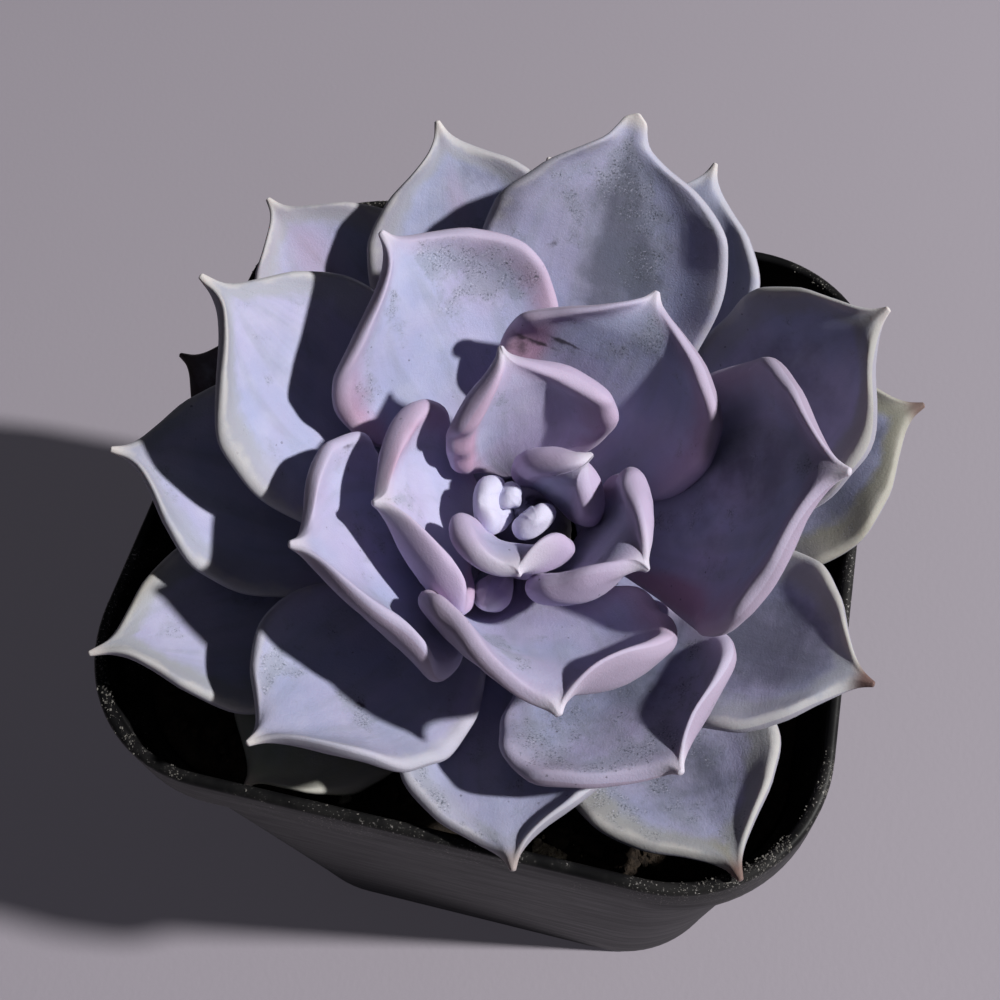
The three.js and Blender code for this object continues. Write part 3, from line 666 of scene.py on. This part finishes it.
def body_ring(height, inset=0):
    """The pot's tapering outline at one height, moved in by the inset."""
    return rounded_square(body_width(height) - 2 * inset, body_corner(height) - inset, height)


def ringed(rings):
    """Vertices in metres and faces of a closed skin over rings of equal count."""
    points = np.array(rings)
    vertices = np.vstack([points.reshape(-1, 3), points[[0, -1]].mean(axis=1)]) * MM
    return vertices, facing_out(vertices, skin_faces(len(rings), len(rings[0])))


def rounding(width, corner, height, radius, start, end, steps=5):
    """Rings round an edge: the square shrinks and rises along an arc between two angles, in degrees."""
    rings = []
    for k in range(steps + 1):
        turn = math.radians(start + (end - start) * k / steps)
        inset = radius * (1 - math.cos(turn))
        rings.append(rounded_square(width - 2 * inset, corner - inset, height + radius * math.sin(turn)))
    return rings


def build_pot():
    """The pot, with a rounded foot, a stepped lip band, a round rim and a drain hole near each corner."""
    rings = rounding(FOOT_WIDTH + FOOT_FLARE, FOOT_CORNER, FOOT_ROUNDING, FOOT_ROUNDING, -90, 0)
    rings += [body_ring(height) for height in WALL_RINGS]
    rings.append(rounded_square(BODY_TOP_WIDTH, body_corner(BODY_TOP), BODY_TOP - STEP_LEAD))
    rings.append(body_ring(BODY_TOP, -STEP_ROUNDING / 2))
    rings += rounding(MOUTH_WIDTH - LIP_EASE, MOUTH_CORNER, BODY_TOP + STEP_ROUNDING, STEP_ROUNDING, -80, 0)
    rings += [rounded_square(MOUTH_WIDTH, MOUTH_CORNER, BODY_TOP + height) for height in LIP_RINGS]
    rings += rounding(MOUTH_WIDTH, MOUTH_CORNER, POT_HEIGHT - RIM_ROUNDING, RIM_ROUNDING, 0, 90)
    for k in range(1, LIP_STEPS + 1):
        turn = math.radians(90 * k / LIP_STEPS)
        inset = WALL - RIM_ROUNDING * (1 - math.sin(turn))
        rings.append(rounded_square(MOUTH_WIDTH - 2 * inset, MOUTH_CORNER - inset,
                                    POT_HEIGHT - RIM_ROUNDING * (1 - math.cos(turn))))
    rings.append(rounded_square(MOUTH_WIDTH - 2 * WALL, MOUTH_CORNER - WALL, BODY_TOP))
    rings += [body_ring(height, WALL) for height in (BODY_TOP - WALL, *INNER_RINGS)]
    pot = mesh_object("nursery_pot", *ringed(rings), {}, pot_plastic())
    for x, y in QUARTERS:
        cut_hole(pot, x * DRAIN_REACH, y * DRAIN_REACH)
    return pot


def cut_hole(thing, x, y):
    """Cuts one round drain hole through the floor."""
    bpy.ops.mesh.primitive_cylinder_add(vertices=48, radius=DRAIN_RADIUS * MM, depth=3 * FLOOR * MM,
                                        location=(x * MM, y * MM, FLOOR / 2 * MM))
    cutter = bpy.context.active_object
    cut = thing.modifiers.new("hole", "BOOLEAN")
    cut.operation = "DIFFERENCE"
    cut.solver = "EXACT"
    cut.object = cutter
    settle(thing)
    bpy.data.objects.remove(cutter)


def settle(thing):
    """Makes the modifiers' result the object's own mesh."""
    graph = bpy.context.evaluated_depsgraph_get()
    done = bpy.data.meshes.new_from_object(thing.evaluated_get(graph))
    thing.modifiers.clear()
    thing.data = done


def soil_height(x, y, share):
    """The soil's surface in millimetres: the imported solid's lumps with finer crumbs on them."""
    swell = math.sin(0.52 * x + 1.7 * math.sin(0.23 * y)) * math.cos(0.47 * y - 1.3 * math.sin(0.31 * x))
    crumbs = 0.5 * math.sin(1.37 * x + 0.6 * y) * math.sin(1.21 * y - 0.4 * x)
    fine = 0.55 * noise.noise(Vector((x, y, 3)) * 0.55) + 0.35 * noise.noise(Vector((x, y, 9)) * 1.3)
    return POT_HEIGHT - SOIL_DROP + SOIL_RELIEF * (swell + crumbs) * (1 - share ** 8) + fine


def build_soil():
    """One body of soil from the pot's floor to its rough surface."""
    top = POT_HEIGHT - SOIL_DROP
    rings = [body_ring(height, WALL + GAP) for height in (FLOOR + GAP, top / 2, top - 1)]
    edge = body_ring(top, WALL + GAP)
    for step in range(SOIL_RINGS):
        share = 1 - step / SOIL_RINGS
        rings.append([(x * share, y * share, soil_height(x * share, y * share, share)) for x, y, _ in edge])
    earth = soil_mix("soil_peat", (0.01, 0.0075, 0.006), (0.03, 0.022, 0.016), 420)
    return mesh_object("potting_soil", *ringed(rings), {}, earth)


def tumbled(draw, lean):
    """A random turn about the vertical after a random lean of at most this many radians."""
    spin = Matrix.Rotation(draw.uniform(0, FULL_TURN), 4, "Z")
    return spin @ Matrix.Rotation(draw.uniform(-lean, lean), 4, "X")


def add_grain(mesh, draw, form, radius, detail, depth, scale, fine=0):
    """One uneven grain. form: its place, turn and stretch. depth, scale, fine: of its bumps."""
    made = bmesh.ops.create_icosphere(mesh, subdivisions=detail, radius=radius * MM, matrix=form)
    shift = Vector((draw.uniform(0, 50), draw.uniform(0, 50), 0))
    middle = form.translation
    for vertex in made["verts"]:
        spread = vertex.co - middle
        way = spread / (radius * MM)
        bumpy = noise.noise(way * scale + shift) + fine * noise.noise(way * 4 + shift)
        vertex.co = middle + spread * (1 + depth * bumpy)


def fused(name, mesh, material, rounded):
    """All grains of a bmesh as one object."""
    data = bpy.data.meshes.new(name)
    mesh.to_mesh(data)
    mesh.free()
    data.materials.append(material)
    data.polygons.foreach_set("use_smooth", [rounded] * len(data.polygons))
    return placed(name, data)


def scatter(name, count, size, flatness, leaves, material, seed, sink=0.35):
    """Irregular bits strewn on the soil, fused in one mesh, each kept below the leaf above it."""
    draw = random.Random(seed)
    mesh = bmesh.new()
    half = (body_width(POT_HEIGHT - SOIL_DROP) - 2 * (WALL + GAP)) / 2 - size[1]
    tried = 0
    while tried < count:
        x, y = draw.uniform(-half, half), draw.uniform(-half, half)
        if max(abs(x), abs(y)) > half - CORNER_REACH and abs(x) + abs(y) > 2 * half - CORNER_CUT:
            continue
        radius = draw.uniform(*size) * draw.uniform(0.6, 1)
        if math.hypot(x - STEM_FOOT[0], y - STEM_FOOT[1]) < STEM_RADIUS + STEM_ROOM + radius:
            continue
        tried += 1
        ground = soil_height(x, y, max(abs(x), abs(y)) / (half + 2))
        hit = leaves.ray_cast(Vector((x, y, ground - 1)) * MM, Vector((0, 0, 1)))
        if hit[3] is not None and hit[3] / MM < HEADROOM_SHARE * radius + HEADROOM:
            continue
        turn = tumbled(draw, 0.5)
        shape = Matrix.Diagonal((draw.uniform(0.7, 1.5), draw.uniform(0.7, 1.1), flatness, 1))
        at = Matrix.Translation(Vector((x, y, ground + radius * flatness * (1 - 2 * sink))) * MM)
        add_grain(mesh, draw, at @ turn @ shape, radius, 2, 0.45, 1.3)
    return fused(name, mesh, material, True)


def lumps(name, places, material, seed):
    """Rough grains at given places and sizes, in millimetres, fused in one mesh."""
    draw = random.Random(seed)
    mesh = bmesh.new()
    for x, y, z, radius in places:
        at = Matrix.Translation(Vector((x, y, z)) * MM)
        shape = Matrix.Diagonal((draw.uniform(0.7, 1.3), draw.uniform(0.7, 1.1), draw.uniform(0.5, 0.9), 1))
        turn = tumbled(draw, 0.6)
        add_grain(mesh, draw, at @ turn @ shape, radius, 3 if radius > COARSE_GRAIN else 1, 0.5, 1.4, 0.5)
    return fused(name, mesh, material, False)


def rim_grit(count, seed):
    """Places of fine grit caught on the pot's rim, in uneven drifts, thickest at the front."""
    draw = random.Random(seed)
    ring = rounded_square(MOUTH_WIDTH, MOUTH_CORNER, POT_HEIGHT, 60)
    places = []
    while len(places) < count:
        k = draw.randrange(len(ring))
        start, end = Vector(ring[k]), Vector(ring[(k + 1) % len(ring)])
        spot = start.lerp(end, draw.random())
        inset = draw.uniform(GRIT_INSET, WALL - GRIT_INSET)
        x, y = spot.x * (1 - 2 * inset / MOUTH_WIDTH), spot.y * (1 - 2 * inset / MOUTH_WIDTH)
        drift = noise.noise(Vector((x, y, 4)) * 0.11) + 0.6 * noise.noise(Vector((x, y, 9)) * 0.6)
        if drift + FRONT_DRIFT * (y < 0) < draw.uniform(0, 0.5):
            continue
        edge = min(inset, WALL - inset)
        fall = RIM_ROUNDING - math.sqrt(RIM_ROUNDING ** 2 - max(0, RIM_ROUNDING - edge) ** 2)
        radius = GRIT_SIZE + GRIT_SPREAD * draw.random() ** 3
        places.append((x, y, POT_HEIGHT - fall - GRIT_SINK, radius))
    return places


def pile(x, y, reach, sizes, count, seed):
    """Places of grains heaped round one spot of the soil."""
    draw = random.Random(seed)
    places = []
    for _ in range(count):
        px, py = x + draw.gauss(0, reach), y + draw.gauss(0, reach * 0.5)
        radius = draw.uniform(*sizes)
        places.append((px, py, POT_HEIGHT - SOIL_DROP + 0.5 + radius * 0.5, radius))
    return places


def stem_bark():
    """Grey-brown bark of the old stem, lilac towards the heart."""
    bark = Recipe("stem_bark")
    cloud = bark.noise(300, 5, 0.65)
    bark.color = bark.mix(bark.span(cloud, 0.35, 0.65), (0.1, 0.085, 0.06), (0.19, 0.17, 0.12))
    bark.cover(bark.rising(bark.place, 0.086, 0.093), (0.2, 0.19, 0.27))
    bark.set(Base_Color=bark.color, Roughness=bark.span(cloud, 0.3, 0.7, 0.75, 0.9), Specular_IOR_Level=0.3)
    bark.bump(cloud, 0.0004, 0.6)
    return bark.material


def build_stem(bark, flesh):
    """The stem: a leaning shaft, scarred by shed leaves, that ends in the growing point's three leaves."""
    rings = []
    taper_end = (STEM_RADIUS - STEM_TIP_RADIUS) / STEM_TAPER
    for height in [*range(-STEM_REACH, 0), -0.6, 0]:
        radius = stem_radius(-height)
        scar = SCAR_DEPTH * math.sin(height * SCAR_TURN) if -height > taper_end else 0
        ring = []
        for k in range(STEM_SIDES):
            turn = 2 * math.pi * k / STEM_SIDES
            bumpy = BARK_DEPTH * noise.noise(Vector((3 * math.cos(turn), 3 * math.sin(turn), height * 0.4)))
            reach = radius - STEM_INSET + min(BARK_DEPTH, scar * 0.5 + bumpy)
            side = BEARING_ZERO * math.cos(turn) + BEARING_QUARTER * math.sin(turn)
            ring.append(HEART + STEM_AXIS * height + side * reach)
        rings.append(ring)
    shoulder = HEART + STEM_AXIS * DOME_HEIGHT * SHOULDER_HEIGHT
    rings.append([shoulder + (p - HEART) * SHOULDER_WIDTH for p in rings[-1]])
    vertices, faces = ringed(rings)
    bark_faces = len(faces)
    along = [0.0] * len(vertices)
    far = [9.0] * len(vertices)
    for number, leaf in enumerate(HEART_LEAVES):
        more, more_faces, attributes = leaf_parts(leaf, HEART_SEED + number, HEART_STATIONS)
        faces += [tuple(i + len(vertices) for i in face) for face in more_faces]
        vertices = np.vstack([vertices, more])
        along = np.append(along, attributes["along"])
        far = np.append(far, attributes["tip_mm"])
    values = dict.fromkeys(PLACE_ATTRIBUTES + LOOK_ATTRIBUTES, 0)
    values.update(along=along, tip_mm=np.maximum(3, far), edge_mm=4, upper=1, seed=5, pink=0.1)
    stem = mesh_object("stem_and_growing_point", vertices, faces, values, bark)
    stem.data.materials.append(flesh)
    stem.data.polygons.foreach_set("material_index", [int(i >= bark_faces) for i in range(len(faces))])
    return stem


def make_camera():
    """The photograph's own view: bearing, height, roll, focal length and principal row."""
    turn, rise, roll = (math.radians(a) for a in (CAMERA_AZIMUTH, CAMERA_ELEVATION, CAMERA_ROLL))
    back = Vector((math.sin(turn) * math.cos(rise), -math.cos(turn) * math.cos(rise), math.sin(rise)))
    level = (-back).cross(Vector((0, 0, 1))).normalized()
    above = back.cross(level)
    right = level * math.cos(roll) + above * math.sin(roll)
    up = above * math.cos(roll) - level * math.sin(roll)
    data = bpy.data.cameras.new("photo_camera")
    data.sensor_width = SENSOR_WIDTH
    data.lens = FOCAL_PIXELS * SENSOR_WIDTH / PHOTO_SIZE
    data.shift_y = (PRINCIPAL_ROW - PHOTO_SIZE / 2) / PHOTO_SIZE
    data.clip_start, data.clip_end = 0.01, 10
    camera = placed("photo_camera", data)
    camera.matrix_world = Matrix.Translation(CAMERA_PLACE) @ Matrix((right, up, back)).transposed().to_4x4()
    bpy.context.scene.camera = camera


def make_light(name, bearing, rise, distance, size, power, color):
    """A round light, aimed at the rosette from a bearing and a height above the horizon."""
    turn, up = math.radians(bearing), math.radians(rise)
    way = Vector((math.cos(turn) * math.cos(up), math.sin(turn) * math.cos(up), math.sin(up)))
    data = bpy.data.lights.new(name, "AREA")
    data.shape = "DISK"
    data.size, data.energy, data.color = size, power, color
    light = placed(name, data)
    light.location = Vector(HEART) * MM + way * distance
    light.rotation_euler = way.to_track_quat("Z", "Y").to_euler()


def make_stage():
    """A pale floor, a small strong light like a low sun, a weak fill and a faint pale surround."""
    pale = Recipe("floor_pale")
    cloud = pale.noise(3, 4, 0.6)
    pale.set(Base_Color=pale.mix(cloud, *FLOOR_COLORS), Roughness=0.8,
             Emission_Color=GLOW_COLOR, Emission_Strength=FLOOR_GLOW)
    pale.bump(pale.noise(900, 3), 0.0001, 0.3)
    corners = [(x * FLOOR_REACH, y * FLOOR_REACH, 0) for x, y in QUARTERS]
    floor = mesh_object("floor", corners, [(0, 1, 2, 3)], {}, pale.material)
    make_light("key", **KEY_LIGHT)
    make_light("fill", **FILL_LIGHT)
    world = bpy.data.worlds.new("surround")
    world.use_nodes = True
    background = world.node_tree.nodes["Background"]
    background.inputs["Color"].default_value = (*SURROUND_COLOR, 1)
    background.inputs["Strength"].default_value = SURROUND_STRENGTH
    bpy.context.scene.world = world
    bpy.context.scene.view_settings.view_transform = "Standard"


make_camera()
make_stage()

FRESH_TIP, DRY_TIP = (0.66, 0.62, 0.61), (0.13, 0.06, 0.045)
LILAC_TIP = (0.63, 0.59, 0.69)
inner_skin = leaf_skin("bloom_inner", (0.44, 0.445, 0.65), (0.475, 0.43, 0.63), (0.475, 0.39, 0.56),
                       (0.585, 0.49, 0.675), (0.47, 0.38, 0.54), (LILAC_TIP, DRY_TIP))
middle_skin = leaf_skin("bloom_middle", (0.39, 0.415, 0.625), (0.443, 0.415, 0.62), (0.385, 0.315, 0.43),
                        (0.58, 0.51, 0.65), (0.44, 0.375, 0.51), (LILAC_TIP, DRY_TIP))
outer_skin = leaf_skin("bloom_outer", (0.363, 0.391, 0.592), (0.412, 0.402, 0.592), (0.32, 0.31, 0.38),
                       (0.56, 0.545, 0.54), (0.36, 0.38, 0.41), (FRESH_TIP, DRY_TIP), 1.5)
aged_skin = leaf_skin("bloom_aged", (0.36, 0.39, 0.33), (0.42, 0.42, 0.35), (0.24, 0.25, 0.2),
                      (0.54, 0.52, 0.47), (0.44, 0.45, 0.36), ((0.52, 0.44, 0.42), DRY_TIP), 2.4)
dry_skin = leaf_skin("skin_dry", (0.06, 0.045, 0.05), (0.09, 0.06, 0.06), (0.06, 0.04, 0.04),
                     (0.12, 0.09, 0.07), (0.08, 0.05, 0.045), ((0.08, 0.05, 0.05), (0.05, 0.03, 0.03)))
heart_skin = leaf_skin("bloom_heart", (0.62, 0.61, 0.79), (0.66, 0.62, 0.77), (0.6, 0.54, 0.68),
                       (0.7, 0.64, 0.77), (0.61, 0.55, 0.68), ((0.67, 0.6, 0.72), DRY_TIP))

# Looks by node. pink: blush of base and edges. halo: strength of the band inside the rim. rub: worn bloom.
# dry: how far the point has dried. What isn't listed is the ring's own.
RING_LOOKS = {
    "inner": dict(pink=0.3, halo=0.3, rub=0.1, dry=0),
    "middle": dict(pink=0.27, halo=0.2, rub=0.15, dry=0),
    "outer": dict(pink=0.08, halo=0.4, rub=0.12, dry=0.05),
}
LOOKS = {
    "inner_leaf_5": dict(pink=0.35), "middle_leaf_3": dict(pink=0.12),
    "middle_leaf_5": dict(pink=0.4, halo=0.4), "middle_leaf_6": dict(pink=0.12, rub=0.35),
    "outer_leaf_1": dict(rub=0.2, halo=0.15), "outer_leaf_2": dict(rub=0.3, halo=0.15),
    "outer_leaf_3": dict(halo=0.7), "outer_leaf_4": dict(halo=0.65),
    "outer_leaf_5": dict(halo=0.75, dry=1.0), "outer_leaf_6": dict(rub=0.25, halo=0.35, dry=0.6),
    "outer_leaf_7": dict(halo=0.5), "outer_leaf_8": dict(halo=0.7, pink=0.25),
    "outer_leaf_9": dict(halo=0.3), "outer_leaf_10": dict(halo=0.95, dry=0.9),
    "outer_leaf_11": dict(rub=0.4, halo=0.85, dry=0.95), "outer_leaf_12": dict(halo=0.8, dry=0.2),
    "outer_leaf_13": dict(halo=0.75, pink=0.3),
}
# Marks of single leaves by look: place along and across, reach either way in millimetres, strength
# The dull marks are mostly painted shade over parts of leaves in shadow, partly duller bloom
MARKS = {
    "inner_leaf_4": dict(pink=[(0.6, 0.95, 9, 3, 0.9), (0.6, -0.95, 7, 2, 0.3)]),
    "inner_leaf_5": dict(
        rub=[(0.9, 0.07, 1.6, 2.5, 0.9)], pink=[(0.85, -0.9, 5, 3, 0.6), (0.4, 0.9, 8, 3, 0.4)]),
    "inner_leaf_6": dict(pink=[(0.4, 0.9, 5, 3, 0.4)]),
    # middle_leaf_1: its scar marks and its dull mark are painted shade in and beside its crease
    "middle_leaf_1": dict(
        dull_and_shade=[(0.72, 0.1, 4, 4, 0.3)], rub=[(0.86, -0.3, 3, 3.5, 0.85), (0.66, 0.2, 3.5, 6, 0.5)],
        scar=[(0.65, 0.5, 0.32, 4, 1.0), (0.6, 0.72, 0.35, 2.5, 0.7), (0.57, 0.84, 3, 2.2, 0.4)],
        pink=[(0.56, 0.85, 6, 4, 1.0), (0.76, -0.9, 8, 3.5, 0.5)]),
    "middle_leaf_2": dict(
        rub=[(0.7, -0.4, 2.5, 3, 0.7)], pink=[(0.45, -0.98, 10, 3, 0.7), (0.7, 0.98, 8, 2.5, 0.5)]),
    "middle_leaf_3": dict(
        rub=[(0.68, -0.9, 3, 1.4, 0.7), (0.64, 0, 2, 3, 0.6)],
        scar=[(0.68, -0.9, 0.7, 0.5, 0.8), (0.66, -0.7, 0.35, 0.5, 0.8), (0.63, -0.4, 0.35, 1.6, 0.7)]),
    "middle_leaf_4": dict(
        rub=[(0.76, -0.45, 4.5, 7, 1.0), (0.63, -0.72, 3, 4, 0.7), (0.6, 0.8, 3, 2, 0.6)],
        pink=[(0.5, 0.95, 8, 4, 0.6), (0.5, -0.95, 7, 4, 0.45)], dull_and_shade=[(0.74, -0.5, 4, 6, 0.25)]),
    "middle_leaf_5": dict(
        dull_and_shade=[(0.6, 0.1, 13, 9, 0.45)], rub=[(0.9, 0, 2, 2.5, 0.6)], pink=[(0.38, -0.9, 8, 4, 1.0)]),
    "middle_leaf_6": dict(
        dull_and_shade=[(0.72, -0.75, 5, 3.5, 0.35), (0.9, -0.25, 2, 5, 0.3), (0.55, 0.2, 9, 7, 0.6)],
        olive=[(0.85, 0.8, 4, 2.5, 0.8)], rub=[(0.72, -0.8, 5, 5, 0.8), (0.88, -0.2, 3, 6, 0.7)]),
    "outer_leaf_1": dict(
        rub=[(0.85, -0.66, 3, 2.5, 0.85), (0.7, 0.3, 1.5, 3, 0.6)], scar=[(0.68, 0.32, 0.5, 0.8, 0.8)]),
    "outer_leaf_2": dict(
        rub=[(0.86, -0.1, 4, 4.5, 0.9), (0.72, -0.3, 9, 2.5, 0.75), (0.64, 0.4, 1.2, 1.2, 0.8)],
        scar=[(0.64, 0.4, 0.8, 0.7, 0.6), (0.87, -0.12, 0.6, 0.5, 0.4)],
        dull_and_shade=[(0.66, -0.12, 13, 2.8, 1.0), (0.55, -0.2, 9, 5, 0.9), (0.76, 0.92, 6, 2.6, 0.75),
            (0.84, -0.05, 4, 4, 0.35)]),
    "outer_leaf_3": dict(olive=[(0.77, 0.91, 9, 2.2, 0.3)], rub=[(0.89, -0.5, 3, 2.5, 0.5)]),
    "outer_leaf_4": dict(
        dull_and_shade=[(0.6, 0.1, 12, 8, 0.5)],
        olive=[(0.86, -0.9, 9, 3.5, 1.0), (0.95, 0, 5, 5, 0.9), (0.84, 1, 5, 2.5, 0.8)]),
    "outer_leaf_5": dict(olive=[(0.86, 0.85, 9, 4, 0.8)], dull_and_shade=[(0.72, 0.1, 13, 8, 1.0)]),
    "outer_leaf_6": dict(rub=[(0.78, -0.86, 6, 2, 0.9), (0.94, -0.5, 3, 2, 0.7)]),
    "outer_leaf_8": dict(dull_and_shade=[(0.86, -0.28, 5, 4, 0.5)], pink=[(0.78, 0.05, 10, 3.5, 0.45)]),
    "outer_leaf_9": dict(dull_and_shade=[(0.7, 0, 9, 5, 0.3)]),
    "outer_leaf_10": dict(dull_and_shade=[(0.72, -0.3, 12, 8, 0.9)]),
    "outer_leaf_11": dict(
        olive=[(0.93, -0.1, 7, 5, 0.9), (0.7, -0.9, 9, 3, 0.6)],
        dull_and_shade=[(0.74, 0.15, 9, 4.5, 0.7), (0.6, -0.35, 6, 5, 0.65)],
        rub=[(0.67, -0.85, 4, 3, 0.9), (0.82, -0.1, 3, 4, 0.5)]),
    "outer_leaf_12": dict(olive=[(0.84, -0.95, 4, 3, 0.9)]),
    "outer_leaf_13": dict(pink=[(0.82, 0, 9, 7, 0.45)]),
}
SKINS = {"inner": (inner_skin, "inner_leaf_skin"), "middle": (middle_skin, "inner_leaf_skin"),
         "outer": (outer_skin, "outer_leaf_skin")}
AGED = {"outer_leaf_15": (dry_skin, "dry_leaf_skin"), "outer_leaf_16": (aged_skin, "aged_leaf_skin")}

canopy_points, canopy_faces = [], []
for ring_name, rows in (("inner", INNER_LEAVES), ("middle", MIDDLE_LEAVES), ("outer", OUTER_LEAVES)):
    for number, leaf in enumerate(rows, 1):
        node = f"{ring_name}_leaf_{number}"
        skin, slot = AGED.get(node, SKINS[ring_name])
        leaf = {**leaf, "thinning": EDGE_THINNING[ring_name]}
        points, faces, values = leaf_parts(leaf, 100 * len(ring_name) + number)
        look = {**dict.fromkeys(LOOK_ATTRIBUTES, 0), **RING_LOOKS[ring_name], **LOOKS.get(node, {})}
        for key, value in look.items():
            values[key] = marked(values, leaf, value, MARKS.get(node, {}).get(key, []))
        values["seed"] = STREAK_STEP * number + len(ring_name)
        blade = mesh_object(f"{node}_blade", points, faces, values, skin)
        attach(blade, "root")
        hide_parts(node)
        canopy_faces += [tuple(i + len(canopy_points) for i in face) for face in faces]
        canopy_points += [tuple(p) for p in points]
canopy = BVHTree.FromPolygons(canopy_points, canopy_faces)

stem = build_stem(stem_bark(), heart_skin)
pot = build_pot()
soil = build_soil()
crumb_mix = soil_mix("soil_crumbs", (0.014, 0.01, 0.008), (0.045, 0.032, 0.022), 900)
grain_mix = soil_mix("soil_grains", (0.3, 0.27, 0.22), (0.5, 0.46, 0.39), 1500)
crumbs = scatter("soil_crumb_layer", 900, (0.5, 1.5), 0.7, canopy, crumb_mix, 11)
bark = scatter("soil_bark_chips", 120, (1.2, 2.4), 0.35, canopy, crumb_mix, 12, 0.2)
grains = scatter("soil_pale_grains", 60, (0.4, 1.1), 0.8, canopy, grain_mix, 13, 0.25)
for piece, node, slot in ((stem, "stem_and_heart", "heart_flesh"), (pot, "pot", "pot_plastic"),
                          (soil, "soil", "potting_soil")):
    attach(piece, "root")
    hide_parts(node)
tan_mix = soil_mix("soil_tan_crumbs", (0.16, 0.13, 0.09), (0.42, 0.37, 0.28), 1800)
dust_mix = soil_mix("rim_dust", (0.1, 0.095, 0.088), (0.29, 0.275, 0.25), 1800)
grit = lumps("rim_grit", rim_grit(1100, 21), dust_mix, 22)
tan_places = pile(14.2, -40.3, 0.7, (0.35, 0.95), 9, 23) + pile(14.5, -39.8, 2, (0.1, 0.3), 26, 24)
front_crumbs = lumps("soil_front_crumbs", tan_places, tan_mix, 26)
dark_places = pile(24, -38.6, 1.1, (0.6, 1.5), 12, 27) + pile(24.2, -38.2, 1.6, (0.1, 0.35), 30, 25)
dark_places += pile(17, -38.6, 3, (0.4, 1.1), 16, 28)
dark_crumbs = lumps("soil_dark_crumbs", dark_places, crumb_mix, 29)
for piece in (crumbs, bark, grains, grit, front_crumbs, dark_crumbs):
    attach(piece, "root")
